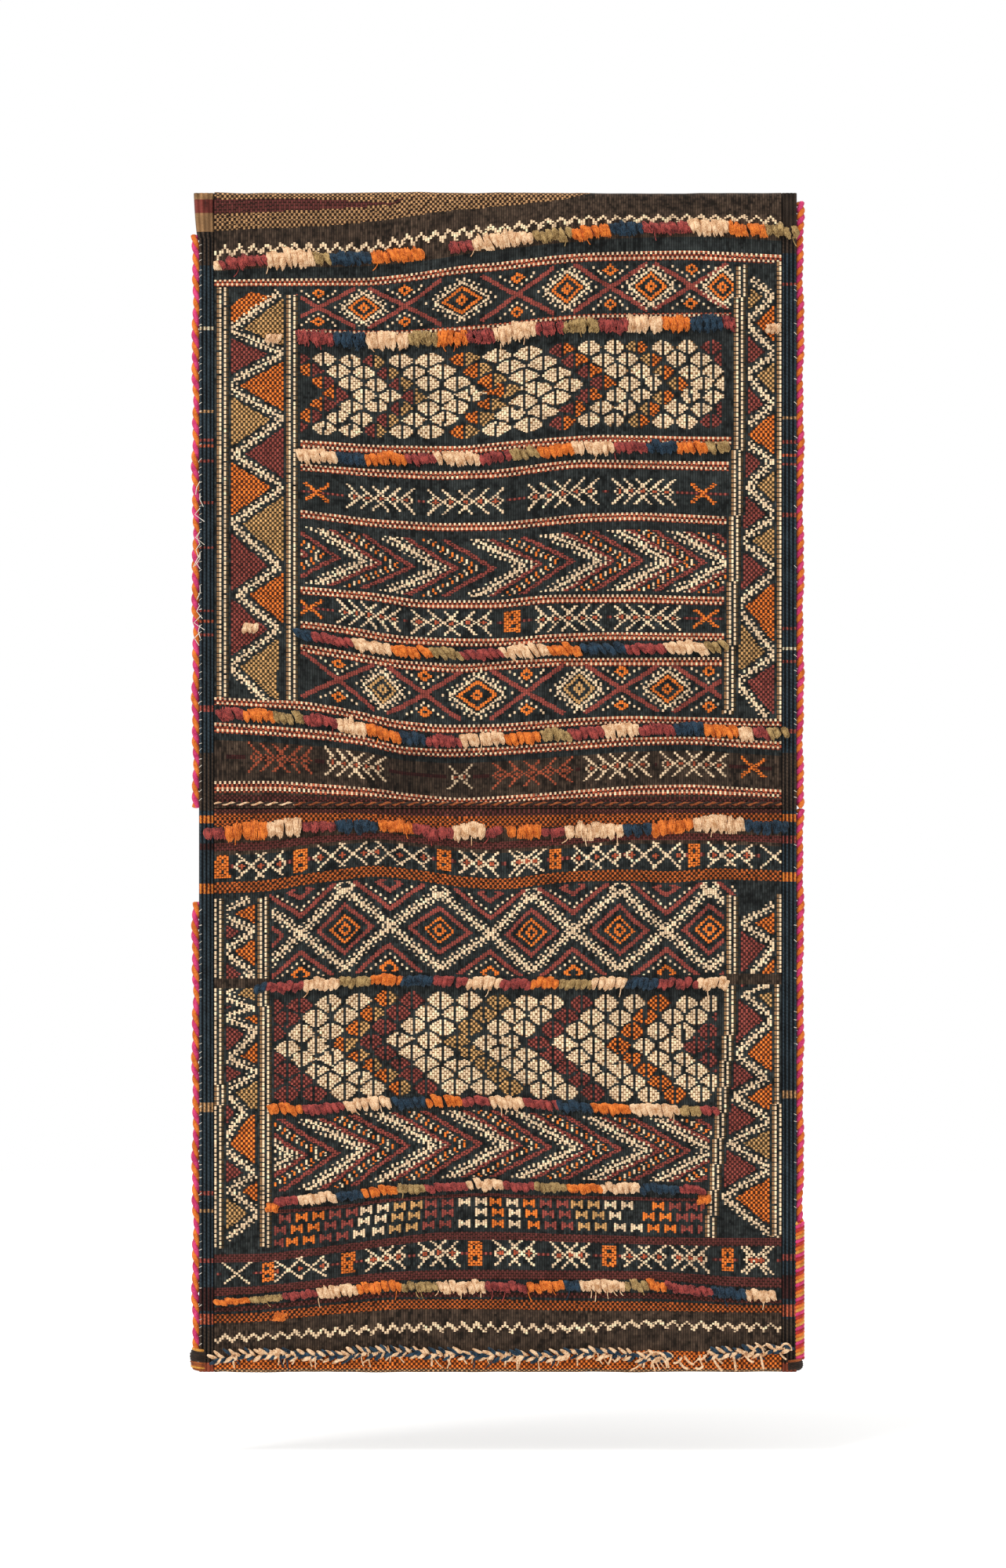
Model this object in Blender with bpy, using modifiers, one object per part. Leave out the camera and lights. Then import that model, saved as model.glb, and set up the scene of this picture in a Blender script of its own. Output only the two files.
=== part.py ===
# Kilim saddlebag: two flat woven pouches joined along a saddle line, hung from its upper edge.
# Metres, +Z up. The patterned face looks along -Y and the plain back lies in the plane y = 0.
# The origin is the hanging point on the back, a little below the upper edge.
from math import pi

import bmesh
import bpy
import numpy as np
from mathutils import Matrix, Vector

# Driving dimensions of the bag
BAG_WIDTH = 0.600  # across both side cords
UPPER_LENGTH = 0.600  # upper edge down to the saddle line
LOWER_LENGTH = 0.549  # saddle line down to the lower edge
HANGING_DROP = 0.030  # upper edge down to the hanging point
CLOTH_THICKNESS = 0.0033
POCKET_DEPTH = 0.0080  # slack between the two cloths of a pouch
SEAM_GAP = 0.0003  # clearance between neighbouring pieces
MOUTH_SLIT = 0.0060  # between the lips of the two pouches
FOLD_LEG = 0.0040  # straight part of a fold on each side of its round
CUT_OVERRUN = 0.002  # how far a cutter passes the piece it cuts

# Parts of the patterned face
UPPER_HEM_HEIGHT = 0.078  # upper edge down to the line where the upper face swings
LOWER_HEM_HEIGHT = 0.098  # lower edge up to the line where the lower face swings
UPPER_LEFT_BORDER_WIDTH = 0.0780
UPPER_RIGHT_BORDER_WIDTH = 0.0430
LOWER_LEFT_BORDER_WIDTH = 0.0390
LOWER_RIGHT_BORDER_WIDTH = 0.0500

# Side edges
SELVEDGE_WIDTH = 0.0145  # blue ribs that close the pouch sides
CORD_RADIUS = 0.0043  # orange and pink edging cord
WHIPPED_SELVEDGE_WIDTH = 0.0080  # what the whipping leaves of the lower right selvedge
UPPER_LEFT_CORD_START = 0.040  # upper edge down to the cord's first end
UPPER_RIGHT_CORD_START = 0.008
LOWER_LEFT_CORD_START = 0.091  # saddle line down to the cord's first end
LOWER_LEFT_CORD_END = 0.021  # lower edge up to the cord's last end
CORD_SADDLE_GAP = 0.0040  # saddle line to the cords that reach it
WHIPPING_LENGTH = 0.132
WHIPPING_RAISE = 0.013  # lower edge up to the end of the whipping

# Trim on the face
TUFT_HEIGHT = 0.0190  # along the cloth
TUFT_DEPTH = 0.0070  # out from the cloth
TWINING_RADIUS = 0.0018  # cream and brown twining along the upper lip
BRAID_RADIUS = 0.0036  # blue and cream braid along the lower hem
LEFT_KNOT_RADIUS = 0.0060
RIGHT_TASSEL_RADIUS = 0.0062

# Faces around the round of each fold, and tufts
FOLD_STEPS = 12
ROUND_STEPS = 8
TUFT_NECK_SHARE = 0.84  # thickness between two tufts
TUFT_END_SHARE = 0.55  # thickness at the free end of a row
CORD_WANDER_SHARES = (0.0, 0.10, 0.02, 0.14, 0.05, 0.0, 0.12, 0.03, 0.09, 0.0)

# Rows of tufts. Across: shares of the bag's width from the middle.
# Down: shares of the pouch's length from its upper end.
ROW_1_REACH_SHARES = (-0.463, 0.487)
ROW_1_CURVE_SHARES = (
    (-0.465, 0.119), (-0.360, 0.109), (-0.238, 0.109), (-0.110, 0.098), (-0.010, 0.080),
    (0.075, 0.072), (0.212, 0.059), (0.349, 0.056), (0.469, 0.064),
)
ROW_2_REACH_SHARES = (-0.324, 0.386)
ROW_2_CURVE_SHARES = (
    (-0.321, 0.236), (-0.220, 0.240), (-0.167, 0.241), (-0.063, 0.236), (0.026, 0.229),
    (0.075, 0.221), (0.143, 0.216), (0.375, 0.213),
)
ROW_3_REACH_SHARES = (-0.327, 0.375)
ROW_3_CURVE_SHARES = (
    (-0.324, 0.427), (-0.220, 0.433), (-0.115, 0.436), (-0.009, 0.433), (0.092, 0.418),
    (0.153, 0.414), (0.267, 0.418), (0.365, 0.415),
)
ROW_4_REACH_SHARES = (-0.328, 0.370)
ROW_4_CURVE_SHARES = (
    (-0.318, 0.718), (-0.272, 0.725), (-0.167, 0.746), (-0.115, 0.751), (-0.027, 0.751),
    (0.057, 0.745), (0.239, 0.741), (0.365, 0.738),
)
ROW_5_REACH_SHARES = (-0.456, 0.471)
ROW_5_CURVE_SHARES = (
    (-0.447, 0.845), (-0.342, 0.851), (-0.238, 0.867), (-0.139, 0.891), (-0.091, 0.893),
    (0.022, 0.888), (0.092, 0.883), (0.202, 0.874), (0.314, 0.872), (0.458, 0.877),
)
ROW_6_REACH_SHARES = (-0.484, 0.471)
ROW_6_CURVE_SHARES = (
    (-0.475, 0.046), (-0.409, 0.040), (-0.290, 0.033), (-0.167, 0.030), (-0.115, 0.043),
    (0.022, 0.043), (0.157, 0.042), (0.280, 0.033), (0.363, 0.029), (0.434, 0.032),
)
ROW_7_REACH_SHARES = (-0.392, 0.374)
ROW_7_CURVE_SHARES = (
    (-0.360, 0.318), (-0.238, 0.310), (-0.185, 0.304), (-0.079, 0.308), (0.027, 0.312),
    (0.349, 0.311),
)
ROW_8_REACH_SHARES = (-0.374, 0.358)
ROW_8_CURVE_SHARES = (
    (-0.367, 0.534), (-0.290, 0.536), (-0.220, 0.524), (-0.091, 0.520), (0.015, 0.520),
    (0.068, 0.527), (0.188, 0.534), (0.308, 0.537),
)
ROW_9_REACH_SHARES = (-0.370, 0.345)
ROW_9_CURVE_SHARES = (
    (-0.349, 0.697), (-0.240, 0.689), (-0.192, 0.679), (-0.083, 0.672), (-0.020, 0.668),
    (0.033, 0.672), (0.198, 0.675), (0.314, 0.678), (0.338, 0.693),
)
ROW_10_REACH_SHARES = (-0.460, 0.451)
ROW_10_CURVE_SHARES = (
    (-0.457, 0.877), (-0.377, 0.870), (-0.258, 0.858), (-0.192, 0.849), (0.001, 0.849),
    (0.259, 0.848), (0.375, 0.862), (0.428, 0.865),
)
BRAID_REACH_SHARES = (-0.458, 0.462)
BRAID_CURVE_SHARES = (
    (-0.465, 0.978), (-0.412, 0.967), (-0.272, 0.972), (-0.202, 0.962), (-0.125, 0.960),
    (-0.057, 0.968), (0.075, 0.973), (0.143, 0.962), (0.245, 0.980), (0.314, 0.969),
    (0.383, 0.982), (0.434, 0.958), (0.465, 0.955),
)

# Sizes and places that follow from the driving dimensions
BAG_DEPTH = 2 * CLOTH_THICKNESS + POCKET_DEPTH
FOLD_RADIUS = BAG_DEPTH / 2
FRONT_Y = -BAG_DEPTH
TOP_Z = HANGING_DROP
SADDLE_Z = TOP_Z - UPPER_LENGTH
BOTTOM_Z = SADDLE_Z - LOWER_LENGTH
UPPER_SWING_Z = TOP_Z - UPPER_HEM_HEIGHT
LOWER_SWING_Z = BOTTOM_Z + LOWER_HEM_HEIGHT
UPPER_LIP_Z = SADDLE_Z + MOUTH_SLIT / 2
LOWER_LIP_Z = SADDLE_Z - MOUTH_SLIT / 2
UPPER_FOLD_Z = TOP_Z - FOLD_RADIUS
LOWER_FOLD_Z = BOTTOM_Z + FOLD_RADIUS
SELVEDGE_OUTER_X = BAG_WIDTH / 2 - 2 * CORD_RADIUS - SEAM_GAP
SELVEDGE_INNER_X = SELVEDGE_OUTER_X - SELVEDGE_WIDTH
CLOTH_EDGE_X = SELVEDGE_INNER_X - SEAM_GAP
UPPER_FIELD_LEFT_X = -CLOTH_EDGE_X + UPPER_LEFT_BORDER_WIDTH + SEAM_GAP
UPPER_FIELD_RIGHT_X = CLOTH_EDGE_X - UPPER_RIGHT_BORDER_WIDTH - SEAM_GAP
LOWER_FIELD_LEFT_X = -CLOTH_EDGE_X + LOWER_LEFT_BORDER_WIDTH + SEAM_GAP
LOWER_FIELD_RIGHT_X = CLOTH_EDGE_X - LOWER_RIGHT_BORDER_WIDTH - SEAM_GAP
WHIPPING_RADIUS = BAG_DEPTH / 2
WHIPPING_BOTTOM_Z = BOTTOM_Z + WHIPPING_RAISE
WHIPPING_TOP_Z = WHIPPING_BOTTOM_Z + WHIPPING_LENGTH


def clear_scene():
    for old in list(bpy.data.objects):
        bpy.data.objects.remove(old, do_unlink=True)


def new_collection(name):
    group = bpy.data.collections.new(name)
    bpy.context.scene.collection.children.link(group)
    return group


clear_scene()
BAG = new_collection("kilim_saddlebag")
CUTTERS = new_collection("cutters")


def wool(name, colour, roughness):
    stuff = bpy.data.materials.new(name)
    stuff.use_nodes = True
    shader = stuff.node_tree.nodes["Principled BSDF"]
    shader.inputs["Base Color"].default_value = (*colour, 1.0)
    shader.inputs["Roughness"].default_value = roughness
    shader.inputs["Metallic"].default_value = 0.0
    stuff.diffuse_color = (*colour, 1.0)
    return stuff


GROUND_BROWN = wool("dark_brown_wool", (0.045, 0.030, 0.020), 0.92)
GROUND_BLUE = wool("dark_blue_wool", (0.020, 0.030, 0.040), 0.92)
BORDER_BROWN = wool("border_weave_wool", (0.110, 0.060, 0.035), 0.92)
BACK_WINE = wool("back_weave_wool", (0.120, 0.040, 0.035), 0.94)
SELVEDGE_BLUE = wool("selvedge_wool", (0.012, 0.026, 0.040), 0.90)
CORD_ORANGE = wool("edging_cord_wool", (0.680, 0.120, 0.050), 0.85)
WHIPPING_PINK = wool("whipping_wool", (0.560, 0.060, 0.070), 0.85)
TUFT_WOOLS = (
    wool("cream_tuft_wool", (0.760, 0.560, 0.350), 0.95),
    wool("wine_tuft_wool", (0.150, 0.025, 0.035), 0.95),
    wool("khaki_tuft_wool", (0.330, 0.250, 0.130), 0.95),
    wool("orange_tuft_wool", (0.720, 0.140, 0.020), 0.95),
)
CREAM_YARN = wool("cream_yarn", (0.780, 0.600, 0.400), 0.90)
DARK_YARN = wool("dark_knot_yarn", (0.035, 0.022, 0.018), 0.92)


def pivot(name, place, parent=None):
    """An empty on a joint's axis; its place is given in world coordinates."""
    point = bpy.data.objects.new(name, None)
    point.empty_display_size = SELVEDGE_WIDTH
    BAG.objects.link(point)
    seat(point, place, parent)
    return point


def seat(piece, place, parent):
    """Parent a piece that isn't turned, keeping its place in world coordinates."""
    piece.parent = parent
    piece["world_place"] = tuple(place)
    start = Vector(parent["world_place"]) if parent else Vector()
    piece.location = Vector(place) - start


UPPER_POUCH = pivot("upper_pouch_origin", (0, 0, 0))
LOWER_POUCH = pivot("saddle_fold_pivot", (0, 0, SADDLE_Z), UPPER_POUCH)
UPPER_FACE = pivot("upper_mouth_pivot", (0, FRONT_Y, UPPER_SWING_Z), UPPER_POUCH)
LOWER_FACE = pivot("lower_mouth_pivot", (0, FRONT_Y, LOWER_SWING_Z), LOWER_POUCH)


def finish(piece, name, stuff, carrier):
    """Put a mesh that was made in world coordinates on its carrier's axis."""
    place = Vector(carrier["world_place"])
    piece.data.transform(Matrix.Translation(-place))
    piece.name = name
    piece.data.name = name
    piece.data.materials.clear()
    piece.data.materials.append(stuff)
    for group in list(piece.users_collection):
        group.objects.unlink(piece)
    BAG.objects.link(piece)
    seat(piece, place, carrier)
    return piece


def box_mesh(low, high):
    """A cube primitive whose mesh fills the two corners, with its object at the world's origin."""
    low = Vector(low)
    high = Vector(high)
    bpy.ops.mesh.primitive_cube_add(size=1)
    block = bpy.context.object
    size = high - low
    block.data.transform(Matrix.Diagonal((size.x, size.y, size.z, 1)))
    block.data.transform(Matrix.Translation((low + high) / 2))
    return block


def mesh_from_curve(curve):
    """Make a curve object a mesh in world coordinates, with its loose caps welded."""
    BAG.objects.link(curve)
    bpy.context.view_layer.update()
    graph = bpy.context.evaluated_depsgraph_get()
    mesh = bpy.data.meshes.new_from_object(curve.evaluated_get(graph))
    mesh.transform(curve.matrix_world)
    shape = bmesh.new()
    shape.from_mesh(mesh)
    bmesh.ops.remove_doubles(shape, verts=shape.verts, dist=SEAM_GAP / 10)
    bmesh.ops.recalc_face_normals(shape, faces=shape.faces)
    shape.to_mesh(mesh)
    shape.free()
    solid = bpy.data.objects.new(curve.name, mesh)
    bpy.context.scene.collection.objects.link(solid)
    bpy.data.objects.remove(curve, do_unlink=True)
    return solid


def tube_mesh(points, radius, radius_shares=None, resolution=2):
    """A tube with filled caps along points in world coordinates."""
    data = bpy.data.curves.new("route", "CURVE")
    data.dimensions = "3D"
    data.bevel_depth = radius
    data.bevel_resolution = resolution
    data.use_fill_caps = True
    line = data.splines.new("POLY")
    line.points.add(len(points) - 1)
    shares = radius_shares or [1.0] * len(points)
    for spot, point, share in zip(line.points, points, shares):
        spot.co = (*point, 1)
        spot.radius = share
    return mesh_from_curve(bpy.data.objects.new("route", data))


def shade_round(piece, angle=pi / 4):
    piece.data.shade_smooth()
    piece.data.set_sharp_from_angle(angle=angle)


# Cloths of the two pouches
def cloth(name, carrier, stuff, x_range, y_range, z_range):
    low = (x_range[0], y_range[0], z_range[0])
    high = (x_range[1], y_range[1], z_range[1])
    return finish(box_mesh(low, high), name, stuff, carrier)


BACK_Y_RANGE = (-CLOTH_THICKNESS, 0)
FACE_Y_RANGE = (FRONT_Y, FRONT_Y + CLOTH_THICKNESS)
FULL_X_RANGE = (-CLOTH_EDGE_X, CLOTH_EDGE_X)


def make_upper_cloths():
    under_fold = UPPER_FOLD_Z - FOLD_LEG - SEAM_GAP
    above_saddle = SADDLE_Z + SEAM_GAP
    below_hem = UPPER_SWING_Z - SEAM_GAP
    left_x_range = (-CLOTH_EDGE_X, -CLOTH_EDGE_X + UPPER_LEFT_BORDER_WIDTH)
    right_x_range = (CLOTH_EDGE_X - UPPER_RIGHT_BORDER_WIDTH, CLOTH_EDGE_X)
    field_x_range = (UPPER_FIELD_LEFT_X, UPPER_FIELD_RIGHT_X)
    face_z_range = (UPPER_LIP_Z, below_hem)
    cloth("upper_back", UPPER_POUCH, BACK_WINE, FULL_X_RANGE, BACK_Y_RANGE, (above_saddle, under_fold))
    cloth("upper_hem", UPPER_POUCH, GROUND_BROWN, FULL_X_RANGE, FACE_Y_RANGE, (UPPER_SWING_Z, under_fold))
    cloth("upper_left_border", UPPER_POUCH, BORDER_BROWN, left_x_range, FACE_Y_RANGE, face_z_range)
    cloth("upper_right_border", UPPER_POUCH, BORDER_BROWN, right_x_range, FACE_Y_RANGE, face_z_range)
    cloth("upper_field", UPPER_FACE, GROUND_BLUE, field_x_range, FACE_Y_RANGE, face_z_range)


def make_lower_cloths():
    over_fold = LOWER_FOLD_Z + FOLD_LEG + SEAM_GAP
    below_saddle = SADDLE_Z - SEAM_GAP
    above_hem = LOWER_SWING_Z + SEAM_GAP
    left_x_range = (-CLOTH_EDGE_X, -CLOTH_EDGE_X + LOWER_LEFT_BORDER_WIDTH)
    right_x_range = (CLOTH_EDGE_X - LOWER_RIGHT_BORDER_WIDTH, CLOTH_EDGE_X)
    field_x_range = (LOWER_FIELD_LEFT_X, LOWER_FIELD_RIGHT_X)
    face_z_range = (above_hem, LOWER_LIP_Z)
    cloth("lower_back", LOWER_POUCH, BACK_WINE, FULL_X_RANGE, BACK_Y_RANGE, (over_fold, below_saddle))
    cloth("lower_hem", LOWER_POUCH, GROUND_BROWN, FULL_X_RANGE, FACE_Y_RANGE, (over_fold, LOWER_SWING_Z))
    cloth("lower_left_border", LOWER_POUCH, BORDER_BROWN, left_x_range, FACE_Y_RANGE, face_z_range)
    cloth("lower_right_border", LOWER_POUCH, BORDER_BROWN, right_x_range, FACE_Y_RANGE, face_z_range)
    cloth("lower_field", LOWER_FACE, GROUND_BLUE, field_x_range, FACE_Y_RANGE, face_z_range)


def draw_out(shape, edge, move):
    """Extrude one edge of an open surface and give back the new edge."""
    made = bmesh.ops.extrude_edge_only(shape, edges=[edge])["geom"]
    corners = [item for item in made if isinstance(item, bmesh.types.BMVert)]
    bmesh.ops.translate(shape, verts=corners, vec=move)
    return shape.edges.get(corners)


def make_fold(name, carrier, centre_z, heading):
    """The rounded end of a pouch, where the back cloth turns over to the face."""
    leg = Vector((0, 0, heading * FOLD_LEG))
    shape = bmesh.new()
    start = shape.verts.new(Vector((-CLOTH_EDGE_X, 0, centre_z)) - leg)
    end = shape.verts.new(Vector((CLOTH_EDGE_X, 0, centre_z)) - leg)
    edge = draw_out(shape, shape.edges.new((start, end)), leg)
    middle = Vector((0, -FOLD_RADIUS, centre_z))
    spun = bmesh.ops.spin(
        shape, geom=[*edge.verts, edge], cent=middle, axis=(1, 0, 0), angle=heading * pi, steps=FOLD_STEPS
    )
    last = next(item for item in spun["geom_last"] if isinstance(item, bmesh.types.BMEdge))
    draw_out(shape, last, -leg)
    bmesh.ops.recalc_face_normals(shape, faces=shape.faces)
    shape.faces.ensure_lookup_table()
    first = shape.faces[0]
    outward = first.calc_center_median() - middle
    outward.x = 0
    if first.normal.dot(outward) < 0:
        bmesh.ops.reverse_faces(shape, faces=shape.faces)
    mesh = bpy.data.meshes.new(name)
    shape.to_mesh(mesh)
    shape.free()
    fold = bpy.data.objects.new(name, mesh)
    bpy.context.scene.collection.objects.link(fold)
    finish(fold, name, GROUND_BROWN, carrier)
    shell = fold.modifiers.new("cloth", "SOLIDIFY")
    shell.thickness = CLOTH_THICKNESS
    shell.offset = -1
    shell.use_even_offset = True
    shade_round(fold)


# Selvedges close the pouch sides; their outline is seen from the side
def selvedge_mesh(inner_x, outer_x, saddle_z, fold_z):
    """A bar as deep as the bag, square at the saddle line and round at the fold."""
    heading = 1 if fold_z > saddle_z else -1
    data = bpy.data.curves.new("selvedge", "CURVE")
    data.dimensions = "2D"
    data.fill_mode = "BOTH"
    data.extrude = (outer_x - inner_x) / 2
    corners = [(0, saddle_z)]
    for step in range(ROUND_STEPS + 1):
        angle = pi * step / ROUND_STEPS
        across = -FOLD_RADIUS + FOLD_RADIUS * np.cos(angle)
        along = fold_z + heading * FOLD_RADIUS * np.sin(angle)
        corners.append((across, along))
    corners.append((FRONT_Y, saddle_z))
    line = data.splines.new("POLY")
    line.points.add(len(corners) - 1)
    for spot, (across, along) in zip(line.points, corners):
        spot.co = (across, along, 0, 1)
    line.use_cyclic_u = True
    bar = bpy.data.objects.new("selvedge", data)
    bar.rotation_euler = (pi / 2, 0, pi / 2)
    bar.location.x = (inner_x + outer_x) / 2
    return mesh_from_curve(bar)


def make_selvedge(name, carrier, side, saddle_z, fold_z):
    edges = sorted((side * SELVEDGE_INNER_X, side * SELVEDGE_OUTER_X))
    bar = finish(selvedge_mesh(*edges, saddle_z, fold_z), name, SELVEDGE_BLUE, carrier)
    shade_round(bar)
    return bar


def cut_for_whipping(bar):
    """Take away the outer ribs of the lower right selvedge where the whipping lies."""
    low = (
        SELVEDGE_INNER_X + WHIPPED_SELVEDGE_WIDTH,
        FRONT_Y - CUT_OVERRUN,
        BOTTOM_Z - CUT_OVERRUN,
    )
    high = (
        SELVEDGE_OUTER_X + CUT_OVERRUN,
        CUT_OVERRUN,
        WHIPPING_TOP_Z + SEAM_GAP,
    )
    cutter = box_mesh(low, high)
    cutter.name = "whipping_cutter"
    for group in list(cutter.users_collection):
        group.objects.unlink(cutter)
    CUTTERS.objects.link(cutter)
    cutter.hide_render = True
    cutter.display_type = "WIRE"
    cut = bar.modifiers.new("whipping", "BOOLEAN")
    cut.operation = "DIFFERENCE"
    cut.solver = "EXACT"
    cut.object = cutter


# Cords and whipping along the side edges
def cord_route(x, side, wander, top_z, bottom_z, shares):
    points = []
    for index, share in enumerate(shares):
        across = x + side * share * wander
        down = top_z + (bottom_z - top_z) * index / (len(shares) - 1)
        points.append((across, -FOLD_RADIUS, down))
    return points


def make_cord(name, carrier, side, top_z, bottom_z):
    x = side * (SELVEDGE_OUTER_X + SEAM_GAP + CORD_RADIUS)
    route = cord_route(x, side, CORD_RADIUS, top_z, bottom_z, CORD_WANDER_SHARES)
    cord = finish(tube_mesh(route, CORD_RADIUS), name, CORD_ORANGE, carrier)
    shade_round(cord, pi / 3)


def make_whipping():
    x = SELVEDGE_INNER_X + WHIPPED_SELVEDGE_WIDTH + SEAM_GAP + WHIPPING_RADIUS
    steps = 6
    points = []
    for step in range(steps + 1):
        down = WHIPPING_TOP_Z - WHIPPING_LENGTH * step / steps
        points.append((x, -FOLD_RADIUS, down))
    whipping = tube_mesh(points, WHIPPING_RADIUS, resolution=3)
    finish(whipping, "lower_right_whipping", WHIPPING_PINK, LOWER_POUCH)
    shade_round(whipping, pi / 3)
    return x


# Tuft rows, twining and braid on the face
def row_drop(curve_shares, share):
    """How far down the pouch a row runs at one place across it, with its corners eased."""
    places = [point[0] for point in curve_shares]
    drops = [point[1] for point in curve_shares]
    window_shares = (-0.03, -0.015, 0.0, 0.015, 0.03)
    return float(np.mean([np.interp(share + offset, places, drops) for offset in window_shares]))


def row_points(curve_shares, reach, count, upper_end_z, length, y):
    points = []
    for index in range(count):
        across = reach[0] + (reach[1] - reach[0]) * index / (count - 1)
        drop = row_drop(curve_shares, across / BAG_WIDTH)
        points.append((across, y, upper_end_z - drop * length))
    return points


def make_tufts(name, carrier, stuff, curve_shares, reach, tufts, pouch, free_ends=(True, True)):
    """A row of wool tufts: a flat, lumpy bar with a neck between each two tufts."""
    upper_end_z, length = pouch
    count = 2 * tufts + 1
    points = row_points(curve_shares, reach, count, upper_end_z, length, 0)
    shares = [TUFT_NECK_SHARE if index % 2 == 0 else 1.0 for index in range(count)]
    if free_ends[0]:
        shares[0] = TUFT_END_SHARE
    if free_ends[1]:
        shares[-1] = TUFT_END_SHARE
    row = tube_mesh(points, TUFT_HEIGHT / 2, shares)
    row.data.transform(Matrix.Diagonal((1, TUFT_DEPTH / TUFT_HEIGHT, 1, 1)))
    row.data.transform(Matrix.Translation((0, FRONT_Y - SEAM_GAP - TUFT_DEPTH / 2, 0)))
    finish(row, name, stuff, carrier)
    shade_round(row, pi / 3)


def whole_reach(reach_shares):
    return [share * BAG_WIDTH for share in reach_shares]


def make_split_row(name, carriers, stuffs, curve_shares, reach_shares, tufts, pouch, field_edges):
    """A row that crosses both borders, cut where the swinging field starts and ends."""
    reach = whole_reach(reach_shares)
    left_x, right_x = field_edges
    half_gap = SEAM_GAP
    left_reach = (reach[0], left_x - half_gap)
    middle_reach = (left_x + half_gap, right_x - half_gap)
    right_reach = (right_x + half_gap, reach[1])
    make_tufts(
        name + "_left", carriers[0], stuffs[0], curve_shares, left_reach, tufts[0], pouch, (True, False)
    )
    make_tufts(
        name + "_middle", carriers[1], stuffs[1], curve_shares, middle_reach, tufts[1], pouch,
        (False, False)
    )
    make_tufts(
        name + "_right", carriers[0], stuffs[2], curve_shares, right_reach, tufts[2], pouch, (False, True)
    )


def make_tuft_rows():
    cream, wine, khaki, orange = TUFT_WOOLS
    upper = (TOP_Z, UPPER_LENGTH)
    lower = (SADDLE_Z, LOWER_LENGTH)
    whole_rows = (
        ("tuft_row_1", UPPER_POUCH, wine, ROW_1_CURVE_SHARES, ROW_1_REACH_SHARES, 15, upper),
        ("tuft_row_2", UPPER_FACE, cream, ROW_2_CURVE_SHARES, ROW_2_REACH_SHARES, 14, upper),
        ("tuft_row_3", UPPER_FACE, khaki, ROW_3_CURVE_SHARES, ROW_3_REACH_SHARES, 13, upper),
        ("tuft_row_4", UPPER_FACE, wine, ROW_4_CURVE_SHARES, ROW_4_REACH_SHARES, 12, upper),
        ("tuft_row_7", LOWER_FACE, orange, ROW_7_CURVE_SHARES, ROW_7_REACH_SHARES, 15, lower),
        ("tuft_row_8", LOWER_FACE, wine, ROW_8_CURVE_SHARES, ROW_8_REACH_SHARES, 13, lower),
        ("tuft_row_9", LOWER_FACE, cream, ROW_9_CURVE_SHARES, ROW_9_REACH_SHARES, 13, lower),
        ("tuft_row_10", LOWER_POUCH, khaki, ROW_10_CURVE_SHARES, ROW_10_REACH_SHARES, 16, lower),
    )
    for name, carrier, stuff, curve_shares, reach_shares, tufts, pouch in whole_rows:
        make_tufts(name, carrier, stuff, curve_shares, whole_reach(reach_shares), tufts, pouch)
    make_split_row(
        "tuft_row_5", (UPPER_POUCH, UPPER_FACE), (wine, cream, khaki), ROW_5_CURVE_SHARES,
        ROW_5_REACH_SHARES, (3, 13, 3), upper, (UPPER_FIELD_LEFT_X, UPPER_FIELD_RIGHT_X)
    )
    make_split_row(
        "tuft_row_6", (LOWER_POUCH, LOWER_FACE), (orange, wine, cream), ROW_6_CURVE_SHARES,
        ROW_6_REACH_SHARES, (2, 14, 2), lower, (LOWER_FIELD_LEFT_X, LOWER_FIELD_RIGHT_X)
    )


def make_twining(name, carrier, x_range):
    """Twined yarn along the upper lip, on the face just above its edge."""
    y = FRONT_Y - SEAM_GAP - TWINING_RADIUS
    z = UPPER_LIP_Z + TWINING_RADIUS
    points = [(x_range[0], y, z), (sum(x_range) / 2, y, z), (x_range[1], y, z)]
    line = finish(tube_mesh(points, TWINING_RADIUS), name, CREAM_YARN, carrier)
    shade_round(line, pi / 3)


def make_lip_twining():
    make_twining("upper_lip_twining_left", UPPER_POUCH, (-CLOTH_EDGE_X, UPPER_FIELD_LEFT_X - SEAM_GAP))
    make_twining("upper_lip_twining_middle", UPPER_FACE, (UPPER_FIELD_LEFT_X, UPPER_FIELD_RIGHT_X))
    make_twining("upper_lip_twining_right", UPPER_POUCH, (UPPER_FIELD_RIGHT_X + SEAM_GAP, CLOTH_EDGE_X))


def make_braid():
    y = FRONT_Y - SEAM_GAP - BRAID_RADIUS
    count = 3 * len(BRAID_CURVE_SHARES)
    reach = whole_reach(BRAID_REACH_SHARES)
    points = row_points(BRAID_CURVE_SHARES, reach, count, SADDLE_Z, LOWER_LENGTH, y)
    braid = finish(tube_mesh(points, BRAID_RADIUS), "hem_braid", CREAM_YARN, LOWER_POUCH)
    shade_round(braid, pi / 3)


# Corner knots
def make_knot(name, centre, radius):
    bpy.ops.mesh.primitive_uv_sphere_add(segments=12, ring_count=8, radius=radius)
    knot = bpy.context.object
    knot.data.transform(Matrix.Translation(centre))
    finish(knot, name, DARK_YARN, LOWER_POUCH)
    knot.data.shade_smooth()


def make_knots(whipping_x):
    left_x = -(SELVEDGE_OUTER_X + SEAM_GAP + LEFT_KNOT_RADIUS)
    left_z = BOTTOM_Z + LOWER_LEFT_CORD_END - SEAM_GAP - LEFT_KNOT_RADIUS
    make_knot("left_corner_knot", (left_x, -FOLD_RADIUS, left_z), LEFT_KNOT_RADIUS)
    right_z = WHIPPING_BOTTOM_Z - SEAM_GAP - RIGHT_TASSEL_RADIUS
    make_knot("right_corner_tassel", (whipping_x, -FOLD_RADIUS, right_z), RIGHT_TASSEL_RADIUS)


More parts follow.
